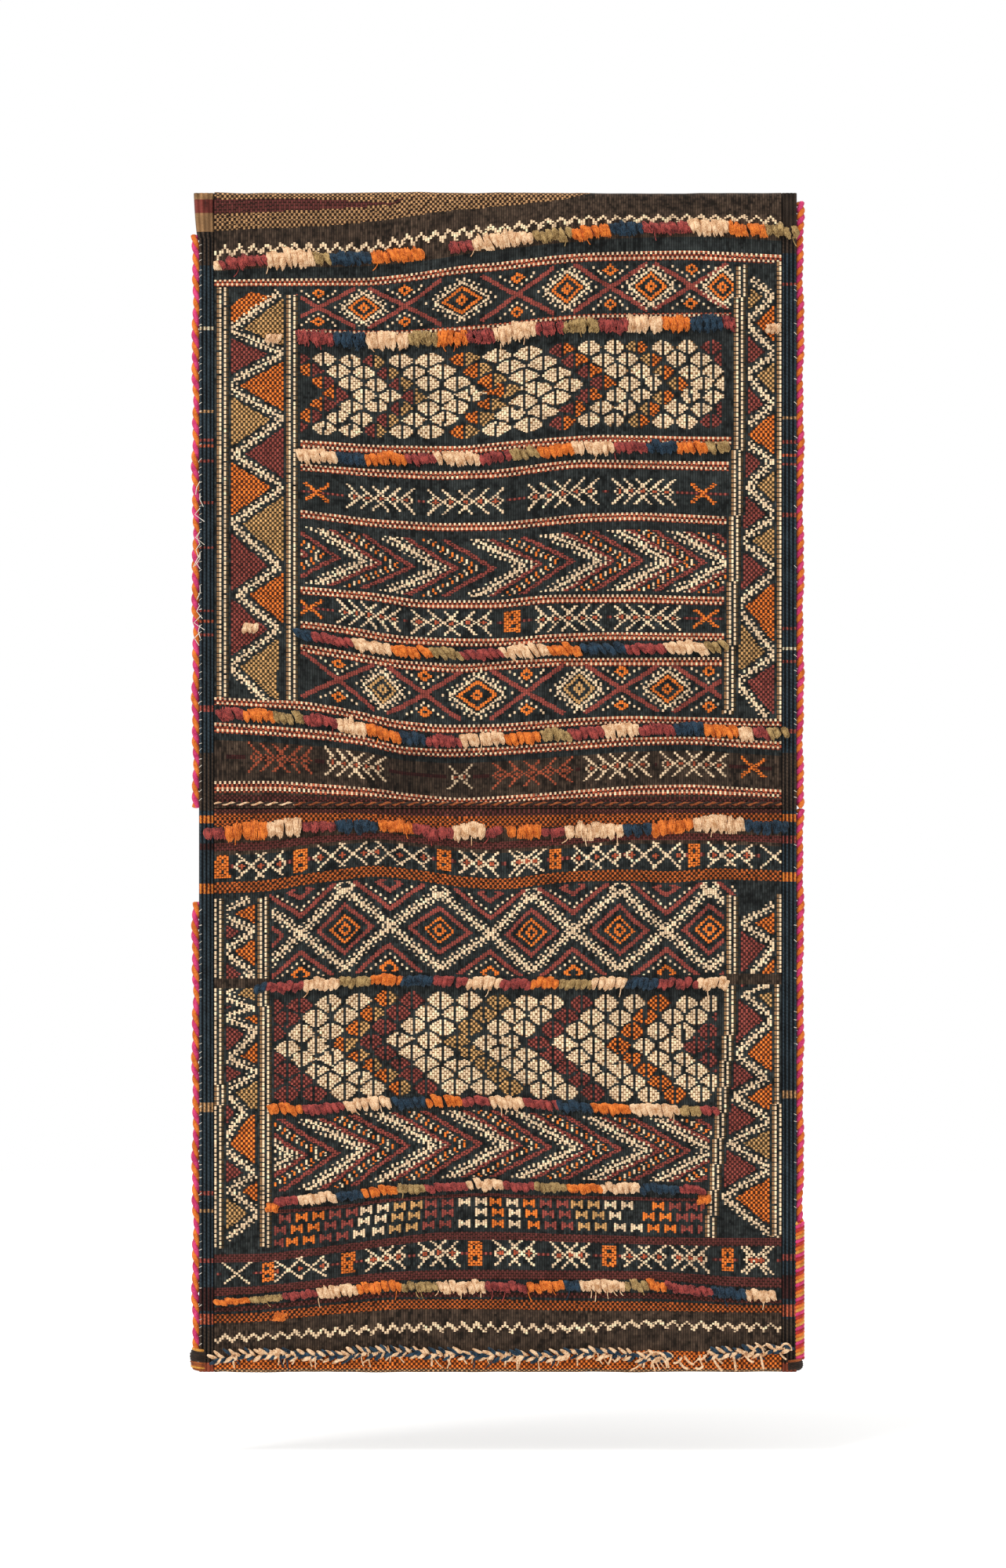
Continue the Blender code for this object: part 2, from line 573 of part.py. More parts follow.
def make_bag():
    make_upper_cloths()
    make_lower_cloths()
    make_fold("upper_fold", UPPER_POUCH, UPPER_FOLD_Z, 1)
    make_fold("lower_fold", LOWER_POUCH, LOWER_FOLD_Z, -1)
    above_saddle = SADDLE_Z + SEAM_GAP
    below_saddle = SADDLE_Z - SEAM_GAP
    make_selvedge("upper_left_selvedge", UPPER_POUCH, -1, above_saddle, UPPER_FOLD_Z)
    make_selvedge("upper_right_selvedge", UPPER_POUCH, 1, above_saddle, UPPER_FOLD_Z)
    make_selvedge("lower_left_selvedge", LOWER_POUCH, -1, below_saddle, LOWER_FOLD_Z)
    whipped = make_selvedge("lower_right_selvedge", LOWER_POUCH, 1, below_saddle, LOWER_FOLD_Z)
    cut_for_whipping(whipped)
    upper_cord_end = SADDLE_Z + CORD_SADDLE_GAP
    make_cord("upper_left_cord", UPPER_POUCH, -1, TOP_Z - UPPER_LEFT_CORD_START, upper_cord_end)
    make_cord("upper_right_cord", UPPER_POUCH, 1, TOP_Z - UPPER_RIGHT_CORD_START, upper_cord_end)
    lower_left_start = SADDLE_Z - LOWER_LEFT_CORD_START
    make_cord("lower_left_cord", LOWER_POUCH, -1, lower_left_start, BOTTOM_Z + LOWER_LEFT_CORD_END)
    lower_right_start = SADDLE_Z - CORD_SADDLE_GAP
    make_cord("lower_right_cord", LOWER_POUCH, 1, lower_right_start, WHIPPING_TOP_Z + SEAM_GAP)
    whipping_x = make_whipping()
    make_tuft_rows()
    make_lip_twining()
    make_braid()
    make_knots(whipping_x)


make_bag()
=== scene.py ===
# Kilim saddlebag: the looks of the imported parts, woven, knotted and bound piece by piece.
import math

import bmesh
import bpy
import numpy as np
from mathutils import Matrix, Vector


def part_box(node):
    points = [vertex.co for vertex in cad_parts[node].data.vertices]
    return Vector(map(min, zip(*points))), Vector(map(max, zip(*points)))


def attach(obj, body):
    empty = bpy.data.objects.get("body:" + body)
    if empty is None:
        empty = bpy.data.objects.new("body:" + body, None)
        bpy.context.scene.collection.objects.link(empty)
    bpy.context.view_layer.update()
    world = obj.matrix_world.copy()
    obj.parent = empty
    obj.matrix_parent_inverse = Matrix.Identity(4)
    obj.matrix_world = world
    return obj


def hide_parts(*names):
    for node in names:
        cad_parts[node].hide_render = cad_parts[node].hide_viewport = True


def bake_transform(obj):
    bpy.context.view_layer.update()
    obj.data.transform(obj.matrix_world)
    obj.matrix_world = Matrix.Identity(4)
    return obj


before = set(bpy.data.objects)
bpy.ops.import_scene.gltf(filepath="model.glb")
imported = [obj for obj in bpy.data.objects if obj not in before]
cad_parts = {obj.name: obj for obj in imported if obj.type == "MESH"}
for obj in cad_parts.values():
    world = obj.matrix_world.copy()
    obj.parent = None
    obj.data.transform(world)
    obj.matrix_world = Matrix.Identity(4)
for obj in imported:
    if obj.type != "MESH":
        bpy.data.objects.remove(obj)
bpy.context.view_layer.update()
random = np.random.default_rng(7)

# The patterns are drawn as on squared paper: a square is 0.766 mm of cloth and one pixel of the photograph
bag = {
    "square": 0.000766,
    "middleColumn": 635.0,
    "topRow": 248.0,
    "rib": 3.05,  # width of a warp rib in squares, as are the pick and the bead
    "pick": 1.5,
    "bead": 6.6,
    "pucker": 0.0014,  # how far slack cloth stands out, in metres
    "wobble": 0.6,  # unevenness of the drawn lines, in squares
}
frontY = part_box("upper_field")[0].y
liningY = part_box("upper_field")[1].y
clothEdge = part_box("upper_hem")[1].x
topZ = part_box("upper_fold")[1].z
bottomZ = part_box("lower_fold")[0].z
foldRadius = -frontY / 2
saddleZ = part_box("upper_back")[0].z


def toX(column):
    return (column - bag["middleColumn"]) * bag["square"]


def toZ(row):
    return topZ - (row - bag["topRow"]) * bag["square"]


def toColumn(x):
    return bag["middleColumn"] + x / bag["square"]


def toRow(z):
    return bag["topRow"] + (topZ - z) / bag["square"]


def linear(hexText):
    parts = [int(hexText[k:k + 2], 16) / 255 for k in (0, 2, 4)]
    return [p / 12.92 if p <= 0.04045 else ((p + 0.055) / 1.055) ** 2.4 for p in parts]


def addNode(tree, kind, links=None, **settings):
    # sockets go by name or number: on a MapRange 0 is the value, 1 and 2 its range, 3 and 4 the result's
    node = tree.nodes.new("ShaderNode" + kind)
    for name, value in settings.items():
        setattr(node, name, value)
    for socket, value in (links or {}).items():
        if isinstance(value, bpy.types.NodeSocket):
            tree.links.new(value, node.inputs[socket])
        else:
            node.inputs[socket].default_value = value
    return node


def newMaterial(name):
    material = bpy.data.materials.new(name)
    material.use_nodes = True
    material.node_tree.nodes.clear()
    return material, material.node_tree


def addWool(tree, look, colour, height, distance):
    # wool scatters light broadly: nearly no gloss and a faint sheen of loose fibre
    bump = addNode(tree, "Bump", {"Height": height, "Distance": distance, "Strength": 0.8})
    wool = addNode(tree, "BsdfPrincipled", {"Base Color": colour, "Roughness": look["roughness"],
                                            "Sheen Weight": look["sheen"], "Specular IOR Level": 0.15,
                                            "Normal": bump.outputs[0]})
    addNode(tree, "OutputMaterial", {"Surface": wool.outputs[0]})


# Weft-faced wool, hand woven: the warp shows as upright ribs and the weft as rows of small beads.
# its colour is painted darker in the valleys between ribs and beads and lighter on their crests: painted
# shade and painted highlight
wovenWool = {"fibre": 0.0009, "wear": 0.035, "valleyShade": 0.45, "crestHighlight": 1.34, "roughness": 0.92,
             "sheen": 0.05, "beadHeight": 0.0005}


def makeWovenWool(name, look):
    material, tree = newMaterial(name)
    dye = addNode(tree, "Attribute", attribute_name="dye")
    weave = addNode(tree, "UVMap", uv_map="weave")
    place = addNode(tree, "TexCoord").outputs["Object"]
    cell = addNode(tree, "SeparateXYZ", {0: weave.outputs["UV"]})
    halfRib = addNode(tree, "Math", {0: cell.outputs["X"], 1: 0.5}, operation="PINGPONG")
    halfPick = addNode(tree, "Math", {0: cell.outputs["Y"], 1: 0.5}, operation="PINGPONG")
    rib = addNode(tree, "MapRange", {0: halfRib.outputs[0], 2: 0.40})
    pick = addNode(tree, "MapRange", {0: halfPick.outputs[0], 2: 0.35, 3: 0.45})
    row = addNode(tree, "Mix", {0: dye.outputs["Alpha"], 2: 0.85, 3: pick.outputs[0]})
    bead = addNode(tree, "Math", {0: rib.outputs[0], 1: row.outputs[0]}, operation="MULTIPLY")
    # painted shade in the valleys and a painted highlight on the crests, multiplied into the dye
    shade = addNode(tree, "MapRange", {0: bead.outputs[0], 3: look["valleyShade"], 4: look["crestHighlight"]})
    fibre = addNode(tree, "TexNoise", {"Vector": place, "Scale": 1 / look["fibre"], "Detail": 2.0})
    wear = addNode(tree, "TexNoise", {"Vector": place, "Scale": 1 / look["wear"], "Detail": 3.0})
    for noise, bright in ((fibre, 1.16), (wear, 1.12)):
        part = addNode(tree, "MapRange", {0: noise.outputs[0], 1: 0.3, 2: 0.7, 3: 0.84, 4: bright})
        shade = addNode(tree, "Math", {0: shade.outputs[0], 1: part.outputs[0]}, operation="MULTIPLY")
    colour = addNode(tree, "VectorMath", {0: dye.outputs["Color"], "Scale": shade.outputs[0]},
                     operation="SCALE")
    relief = addNode(tree, "Math", {0: fibre.outputs[0], 1: 0.15, 2: bead.outputs[0]},
                     operation="MULTIPLY_ADD")
    addWool(tree, look, colour.outputs[0], relief.outputs[0], look["beadHeight"])
    return material


# Spun wool yarn: a soft strand of fine fibres, with painted shade for its hollows and from lock to lock:
# noise mixes its lit colour with its shaded one.
spunWool = {"fibre": 0.0011, "lock": 0.0065, "roughness": 0.95, "sheen": 0.1, "fibreHeight": 0.0004}


def makeSpunWool(name, light, dark, look):
    material, tree = newMaterial(name)
    place = addNode(tree, "TexCoord").outputs["Object"]
    fibre = addNode(tree, "TexNoise", {"Vector": place, "Scale": 1 / look["fibre"], "Detail": 2.0})
    lock = addNode(tree, "TexNoise", {"Vector": place, "Scale": 1 / look["lock"], "Detail": 2.0})
    both = addNode(tree, "Math", {0: fibre.outputs[0], 1: lock.outputs[0]}, operation="ADD")
    share = addNode(tree, "MapRange", {0: both.outputs[0], 1: 0.78, 2: 1.2})
    # painted shade: the noise mixes the yarn's lit colour towards its shaded copy
    colour = addNode(tree, "Mix", {0: share.outputs[0], 6: linear(dark) + [1.0], 7: linear(light) + [1.0]},
                     data_type="RGBA")
    addWool(tree, look, colour.outputs[2], fibre.outputs[0], look["fibreHeight"])
    return material


patternedWool = makeWovenWool("patternedWeave", wovenWool)
plainWool = makeWovenWool("plainBackWeave", dict(wovenWool, fibre=0.0018))
# a milder painted valley shade and crest highlight for the wrapped selvedge
wrappedWool = makeWovenWool("wrappedSelvedgeWool", dict(wovenWool, valleyShade=0.75, crestHighlight=1.1))

# Spun yarns of the pile, the cords and the trim, each with its light and its shaded colour
spunYarns = {
    "cream": ("fcd9b0", "b98558"),
    "wine": ("b14e46", "561f20"),
    "khaki": ("c0a06a", "6c512c"),
    "navy": ("2f4658", "0c151d"),
    "orange": ("f58a38", "a3470f"),
    "pink": ("e0487c", "b02a58"),
    "cordOrange": ("ec7f34", "bd5a1c"),
    "yellow": ("e6a650", "b47428"),
    "red": ("c23a34", "8c2424"),
    "white": ("efe6d8", "cfc2ae"),
    "darkBrown": ("3a2c24", "211812"),
    "rust": ("a55a30", "703618"),
}
spun = {name: makeSpunWool("spunWool" + name[0].upper() + name[1:], *pair, spunWool)
        for name, pair in spunYarns.items()}

# Dyes of the woven cloth: the two grounds first, then the pattern yarns and their shaded neighbours
dyes = {
    "brown": "3d3026",
    "night": "252827",
    "cream": "f2d0a8",
    "bone": "8a6644",
    "orange": "e8782e",
    "ember": "4c2412",
    "rust": "ad5438",
    "wine": "8f443a",
    "plum": "3c1d1a",
    "khaki": "c9985f",
    "moss": "413320",
    "navy": "2a3c49",
    "tan": "b0855a",
    "burnt": "b45a27",
    "madder": "5c2e29",
    "soot": "2a1a12",
    "slate": "2a363d",
}
shadeOf = {"cream": "bone", "orange": "ember", "wine": "plum", "khaki": "moss", "tan": "soot", "rust": "plum",
           "burnt": "soot", "madder": "soot"}
dyeNames = list(dyes)
groundDyes = 2
wrapLift = {"shaded": 0.00018, "bright": 0.00042}  # how far wrapped weft stands above the ground, in metres
dyeColours = np.array([linear(code) for code in dyes.values()])
lifts = np.array([0.0 if k < groundDyes else wrapLift["shaded" if name in shadeOf.values() else "bright"]
                  for k, name in enumerate(dyeNames)])
print("materials made")


def softNoise(picks, ribs, tall, wide):
    coarse = random.normal(size=(int(picks / tall) + 3, int(ribs / wide) + 3))
    down = np.linspace(0, coarse.shape[0] - 1.001, picks)
    across = np.linspace(0, coarse.shape[1] - 1.001, ribs)
    top = down.astype(int)
    left = across.astype(int)
    v = (down - top)[:, None]
    u = (across - left)[None, :]
    upper = coarse[top][:, left] * (1 - u) + coarse[top][:, left + 1] * u
    lower = coarse[top + 1][:, left] * (1 - u) + coarse[top + 1][:, left + 1] * u
    return upper * (1 - v) + lower * v


def meanOfFour(corners):
    return (corners[1:, 1:] + corners[:-1, 1:] + corners[1:, :-1] + corners[:-1, :-1]) / 4


def smoothLine(points, columns):
    # cloth bends softly, so a course is evened out over so many squares to each side
    reach = 18
    xs = [p[0] for p in points]
    ys = [p[1] for p in points]
    return np.mean([np.interp(columns + s, xs, ys) for s in np.linspace(-reach, reach, 7)], axis=0)


# Woven lines of each pouch: the row of the chart, and the course it takes across the uneven cloth
upperLines = {
    "foldEnd": (225, [(245, 227.6), (1030, 227.6)]),
    "zigzag": (299, [(279, 325), (340, 319), (477, 319), (532, 305), (586, 298), (641, 294), (694, 285),
                     (747, 281), (961, 280), (1015, 288)]),
    "tufts1": (313, [(271, 341), (353, 333), (449, 333), (549, 325), (627, 311), (694, 304), (801, 294),
                     (908, 292), (1002, 298)]),
    "dots1": (343, [(263, 363), (477, 362), (532, 355), (586, 346), (641, 342), (694, 335), (747, 330),
                    (881, 328), (1004, 334)]),
    "tufts2": (427, [(384, 433), (463, 436), (504, 437), (586, 433), (655, 427), (694, 421), (747, 417),
                     (929, 415)]),
    "dots2": (568, [(381, 567), (477, 574), (586, 576), (667, 568), (760, 561), (895, 564)]),
    "tufts3": (580, [(381, 582), (463, 587), (628, 587), (667, 580), (755, 572), (921, 573)]),
    "dots3": (599, [(381, 596), (477, 604), (559, 608), (641, 605), (680, 599), (734, 592), (927, 596)]),
    "dots4": (666, [(381, 656), (477, 669), (559, 674), (641, 673), (747, 662), (814, 660), (929, 666)]),
    "dots5": (765, [(381, 754), (477, 762), (532, 772), (641, 772), (694, 765), (814, 765), (908, 768)]),
    "dots6": (812, [(381, 796), (449, 805), (504, 816), (586, 820), (641, 820), (694, 815), (774, 811),
                    (908, 813)]),
    "tufts4": (829, [(386, 810), (422, 816), (504, 832), (614, 836), (680, 831), (822, 828), (921, 826)]),
    "dots7": (845, [(381, 826), (449, 837), (504, 847), (586, 853), (641, 848), (720, 844), (921, 844)]),
    "dots8": (918, [(255, 894), (394, 901), (449, 911), (504, 925), (559, 931), (641, 930), (720, 923),
                    (801, 919), (961, 923)]),
    "tufts5": (935, [(285, 910), (408, 920), (449, 927), (490, 938), (526, 946), (564, 947), (652, 943),
                     (793, 932), (881, 931), (951, 936), (994, 935)]),
    "dots9": (949, [(271, 928), (340, 932), (422, 939), (477, 947), (504, 957), (573, 961), (641, 958),
                    (801, 946), (881, 944), (1002, 952)]),
    "dots10": (1010, [(271, 1002), (353, 1001), (477, 1010), (532, 1018), (585, 1023), (641, 1020),
                      (694, 1016), (801, 1007), (881, 1005), (1015, 1013)]),
    "lip": (1028, [(245, 1030.7), (1030, 1030.7)]),
}
lowerLines = {
    "lip": (1034, [(245, 1031.7), (1030, 1031.7)]),
    "orange1": (1042, [(285, 1043), (449, 1041), (504, 1046), (586, 1049), (720, 1045), (854, 1041),
                       (988, 1042)]),
    "tufts6": (1057, [(263, 1064), (408, 1055), (504, 1053), (545, 1062), (652, 1062), (758, 1061),
                      (854, 1055), (919, 1052), (975, 1055)]),
    "wine1": (1073, [(257, 1081), (340, 1079), (394, 1072), (477, 1064), (532, 1071), (614, 1079),
                     (641, 1078), (720, 1073), (801, 1066), (881, 1066), (1015, 1071)]),
    "orange2": (1119, [(257, 1134), (340, 1131), (394, 1121), (477, 1110), (532, 1116), (586, 1125),
                       (641, 1129), (720, 1118), (801, 1116), (854, 1120), (908, 1114), (1015, 1118)]),
    "tufts7": (1255, [(353, 1259), (449, 1253), (490, 1249), (573, 1252), (656, 1255), (908, 1254)]),
    "tufts8": (1410, [(348, 1414), (408, 1415), (463, 1407), (564, 1404), (647, 1404), (688, 1409),
                      (782, 1414), (876, 1416)]),
    "tufts9": (1516, [(362, 1531), (447, 1525), (485, 1518), (570, 1513), (619, 1510), (661, 1513),
                      (790, 1515), (881, 1517)]),
    "wine2": (1590, [(257, 1606), (340, 1605), (394, 1598), (477, 1587), (559, 1576), (641, 1576),
                     (720, 1579), (881, 1584)]),
    "tufts10": (1645, [(277, 1660), (340, 1655), (433, 1646), (485, 1640), (636, 1640), (838, 1639),
                       (929, 1649), (970, 1651)]),
    "orange3": (1667, [(257, 1681), (326, 1680), (422, 1669), (504, 1662), (641, 1662), (747, 1665),
                       (961, 1668)]),
    "zigzag": (1695, [(277, 1706), (326, 1703), (394, 1699), (477, 1694), (559, 1690), (720, 1693),
                      (827, 1685), (908, 1689), (988, 1690)]),
    "foldEnd": (1770, [(245, 1768.4), (1030, 1768.4)]),
}


def makeChart(lines):
    chart = {}
    places = [place for place, course in lines.values()]
    width = 2 * clothEdge / bag["square"]
    chart["first"] = places[0]
    chart["left"] = toColumn(-clothEdge)
    chart["ribs"] = round(width / bag["rib"])
    chart["picks"] = round((places[-1] - places[0]) / bag["pick"])
    chart["ribWidth"] = width / chart["ribs"]
    chart["pickHeight"] = (places[-1] - places[0]) / chart["picks"]
    chart["edgeColumns"] = chart["left"] + np.arange(chart["ribs"] + 1) * chart["ribWidth"]
    edgeRows = chart["first"] + np.arange(chart["picks"] + 1) * chart["pickHeight"]
    courses = np.array([smoothLine(course, chart["edgeColumns"]) for place, course in lines.values()])
    chart["edgeDrops"] = np.array([np.interp(edgeRows, places, course) for course in courses.T]).T
    chart["drop"] = meanOfFour(chart["edgeDrops"])
    shape = (chart["picks"], chart["ribs"])
    chart["rib"] = np.broadcast_to(np.arange(shape[1]), shape)
    chart["pick"] = np.broadcast_to(np.arange(shape[0])[:, None], shape)
    chart["x"] = chart["left"] + (chart["rib"] + 0.5) * chart["ribWidth"]
    chart["row"] = chart["first"] + (chart["pick"] + 0.5) * chart["pickHeight"]
    # the same places as a weaver's hand meets them, a little off
    for drawn, exact in (("handX", "x"), ("handRow", "row"), ("handDrop", "drop")):
        chart[drawn] = chart[exact] + bag["wobble"] * softNoise(*shape, 14, 8)
    chart["grit"] = softNoise(*shape, 3, 2)
    chart["dye"] = np.zeros(shape, int)
    chart["shade"] = np.ones(shape)
    return chart


def paint(chart, where, dye):
    chart["dye"][where] = dyeNames.index(dye)


def beaded(chart, where, dye, gap=2):
    # beads in brick order, gap quarters of each showing the darker neighbour
    phase = (chart["drop"] / bag["bead"] + chart["rib"] / 2) % 1
    paint(chart, where, dye)
    paint(chart, where & (phase >= 1 - gap / 4), shadeOf[dye])


def between(values, low, high):
    return (values >= low) & (values < high)


def keepOutside(chart, before, span, rows):
    inside = between(chart["x"], *span) & between(chart["row"], *rows)
    chart["dye"][~inside] = before[~inside]


def stripes(chart, looks, span):
    for row, height, dye, gap in looks:
        where = between(chart["row"], row - height / 2, row + height / 2) & between(chart["x"], *span)
        beaded(chart, where, dye, gap)


def dot(chart, dye, column, row):
    rib = int((column - chart["left"]) / chart["ribWidth"])
    pick = int((row - chart["first"]) / chart["pickHeight"])
    if 0 <= rib < chart["ribs"] and 0 <= pick < chart["picks"]:
        chart["dye"][pick:pick + 2, rib] = dyeNames.index(dye)


def dottedPair(chart, row, span, single=False):
    # cream beads in two rows on a reddish band
    halfBand = 5.2
    inside = between(chart["x"], *span)
    line = chart["pick"] - round((row - halfBand - chart["first"]) / chart["pickHeight"])
    beaded(chart, inside & between(line, 0, 4 if single else 7), "rust")
    for top, odd in ((1, 0),) if single else ((0, 0), (4, 1)):
        paint(chart, inside & between(line, top, top + 2) & (chart["rib"] % 2 == odd), "cream")


def fromLine(chart, start, end, rows):
    dx = chart["handX"] - start[0]
    dy = chart[rows] - start[1]
    run = math.hypot(end[0] - start[0], end[1] - start[1])
    ux = (end[0] - start[0]) / run
    uy = (end[1] - start[1]) / run
    thinnest = 0.60 * max(chart["ribWidth"] * abs(uy), chart["pickHeight"] * abs(ux))
    return dx * ux + dy * uy, dx * uy - dy * ux, run, thinnest


def segment(chart, dye, start, end, thick=2.0, rows="handRow"):
    along, aside, run, thinnest = fromLine(chart, start, end, rows)
    where = between(along, -1, run + 1) & (np.abs(aside) < max(thick / 2, thinnest))
    if dye == "orange":
        beaded(chart, where, "orange", 1)
    else:
        paint(chart, where, dye)


def comb(chart, dye, start, end, reach, pitch=6.3, rows="handRow"):
    # a thin line with teeth standing square to it, as far as reach to either side
    thin = 1.6
    tooth = 2.1
    segment(chart, dye, start, end, thin, rows)
    along, aside, run, thinnest = fromLine(chart, start, end, rows)
    teeth = between(along, 0, run) & between(aside, -reach[0], reach[1]) & ((along % pitch) < tooth)
    paint(chart, teeth, dye)


def ring(chart, dye, centre, half, low, high):
    # a lozenge, painted between two shares of its half width and height
    size = np.abs(chart["handX"] - centre[0]) / half[0] + np.abs(chart["handRow"] - centre[1]) / half[1]
    paint(chart, between(size, low, high), dye)


zigzag = {"start": 279, "period": 17.8, "swing": 4.8, "half": 3.4, "core": 1.7, "check": 2.2}


def zigzagLine(chart, row, span):
    # a cream line, solid in the middle and checked at its edges
    wave = 4 * np.abs((chart["x"] - zigzag["start"]) / zigzag["period"] % 1 - 0.5) - 1
    off = np.abs(chart["row"] - row - zigzag["swing"] * wave)
    where = (off < zigzag["half"]) & between(chart["x"], *span)
    solid = (np.floor(chart["drop"] / zigzag["check"]) + chart["rib"]) % 2 == 0
    solid |= off < zigzag["core"]
    paint(chart, where & solid, "cream")
    paint(chart, where & ~solid, "soot")


def lozenge(chart, centre, half):
    x, y = centre
    inwardTeeth = (0, 8.0)
    corners = [(x, y - half[1]), (x + half[0], y), (x, y + half[1]), (x - half[0], y)]
    for a, b in zip(corners, corners[1:] + corners[:1]):
        comb(chart, "cream", a, b, inwardTeeth)


def dottedArms(chart, tip, down, arm, thick, dots, pitch):
    # two wine arms spread from a tip, with cream dots in lines between them
    firstDot = 9
    for side in (-1, 1):
        segment(chart, "wine", tip, (tip[0] + side * arm[0], tip[1] + down * arm[1]), thick)
        for k in range(dots):
            dot(chart, "cream", tip[0] + side * k * pitch[0], tip[1] + down * (firstDot + k * pitch[1]))


def lozengeBand(chart, look):
    before = chart["dye"].copy()
    row = look["row"]
    for column in look["crossings"]:
        for down in (-1, 1):
            dottedArms(chart, (column, row), down, (46, 28), 5.2, 5, (5.5, 4.1))
            ring(chart, "orange", (column, row + down * 21), (8.5, 6.5), 0.45, 1.1)
    for column, half, dye in look["lozenges"]:
        lozenge(chart, (column, row), half)
        ring(chart, dye, (column, row), (half[0] * 0.70, half[1] * 0.74), 0.84, 1.10)
        ring(chart, dye, (column, row), (7.5, 7.5), 0.35, 1.05)
        for across in (-1, 1):
            dot(chart, "cream", column + across * (half[0] + 10), row - 1)
    keepOutside(chart, before, look["span"], (row - look["half"], row + look["half"]))


# Letters in the colour strings: the dyes of a figure's left and right half
scaleCodes = {"C": ("cream", "cream"), "W": ("wine", "wine"), "O": ("orange", "orange"),
              "K": ("khaki", "khaki"), "R": ("orange", "wine"), "L": ("wine", "khaki"),
              "Q": ("orange", "khaki"), "T": ("wine", "orange"), "G": ("khaki", "orange")}


def fishScales(chart, look):
    before = chart["dye"].copy()
    columns = look["columns"]
    rows = look["rows"]
    for k, row in enumerate(rows):
        step = 3 - abs(k - 3)
        for n, code in enumerate(look["colours"]):
            gap = (columns[min(n + 1, len(columns) - 1)] - columns[max(n - 1, 0)]) / 2
            half = 0.49 * (gap if 0 < n < len(columns) - 1 else gap * 2)
            middle = columns[n] + look["direction"] * look["shift"] * step + random.normal() * 0.7
            dx = chart["handX"] - middle
            dy = chart["handRow"] - row - random.normal() * 0.5
            worn = look["worn"] if k in (3, 4, 5) and random.uniform() < 0.55 else 0.04
            # each row laps over the one above, with a dark line round every scale
            rim = (np.abs(dx) / (half + 2)) ** 1.5 + (np.abs(dy) / (look["tall"] + 3.4)) ** 1.3
            paint(chart, rim < 1, "night")
            size = (np.abs(dx) / (half - 1.5)) ** 1.5 + (np.abs(dy) / look["tall"]) ** 1.3
            body = (size + worn * chart["grit"] < 1) & (np.abs(dx) > chart["ribWidth"] * 0.52)
            for side, dye in zip((-1, 1), scaleCodes[code]):
                beaded(chart, body & (dx * side > 0), dye, 1 if dye == "cream" else 2)
    keepOutside(chart, before, look["span"], (rows[0] - 14, rows[-1] + 14))


def chainFigure(chart, row, span, dye):
    # a chain of small lozenges with wine hearts, its arms leaning away from the middle
    count = 5 if span[1] - span[0] > 70 else 2
    pitch = (span[1] - span[0] - 4) / count
    for k in range(count):
        middle = span[0] + 2 + pitch * (k + 0.5)
        ring(chart, dye, (middle, row), (pitch / 2, 7.5), 0.78, 1.12)
        ring(chart, "rust", (middle, row), (pitch / 2, 7.5), 0.0, 0.42)
        leans = (-1, 1) if k * 2 == count - 1 else (-1,) if k * 2 < count - 1 else (1,)
        for lean in leans:
            for down in (-1, 1):
                start = (middle + lean * 0.5, row + down * 7)
                segment(chart, dye, start, (middle + lean * 9.5, row + down * 15.5))


def latticeFigure(chart, row, span, dye):
    # two lines each way crossing over wine hearts
    middle = (span[0] + span[1]) / 2
    single = span[1] - span[0] < 40
    offset = 0 if single else (span[1] - span[0]) / 2 - 18
    for centre in (middle - offset, middle + offset):
        for lean in (-1, 1):
            segment(chart, dye, (centre - lean * 17, row - 14), (centre + lean * 17, row + 14))
    if not single:
        for side in (-1, 0, 1):
            ring(chart, "rust", (middle + side * offset * 2, row), (4.5, 4), 0.0, 0.9)
        for side in (-1, 1):
            outer = (middle + side * (offset * 2 + 8.5), row)
            for down in (-1, 1):
                segment(chart, dye, outer, (outer[0] - side * 8, row + down * 7))


def orangeBlock(chart, row, span):
    half = 13
    middle = (span[0] + span[1]) / 2
    beaded(chart, between(chart["handX"], *span) & (np.abs(chart["handRow"] - row) < half), "orange", 1)
    for side in (-1, 1):
        hole = (np.abs(chart["handX"] - middle) < 2.2) & (np.abs(chart["handRow"] - row - side * 5.5) < 2.2)
        paint(chart, hole, "night")


def figureBand(chart, look):
    row = look["row"]
    line = between(chart["row"], row - 1.8, row + 1.8) & between(chart["x"], *look["span"])
    paint(chart, line, look.get("line", "wine"))
    paint(chart, line & (chart["rib"] % 2 == 0), "plum")
    for k, span in enumerate(look["figures"]):
        near = between(chart["x"], span[0] - 3, span[1] + 3) & (np.abs(chart["row"] - row) < 2)
        paint(chart, near, look["ground"])
        dye = look["dyes"][k] if "dyes" in look else "cream"
        look["draw"](chart, row, span, dye)
    for span in look.get("blocks", ()):
        orangeBlock(chart, row, span)
    for column in look.get("crosses", ()):
        for lean in (-1, 1):
            segment(chart, "orange", (column - 15, row - lean * 11.5), (column + 15, row + lean * 11.5), 4.2)


# Each chevron from tip to tip: two wine bars with a row of dashes between, and a cream comb down the tips
chevron = {"bars": (0.20, 0.63), "halfBar": 2.4, "dashes": 0.42, "halfDash": 4.2, "dashPitch": 6.8,
           "dash": 2.5, "reach": 8.0, "toothPitch": 6.3, "tooth": 2.1, "halfSpine": 1.2}


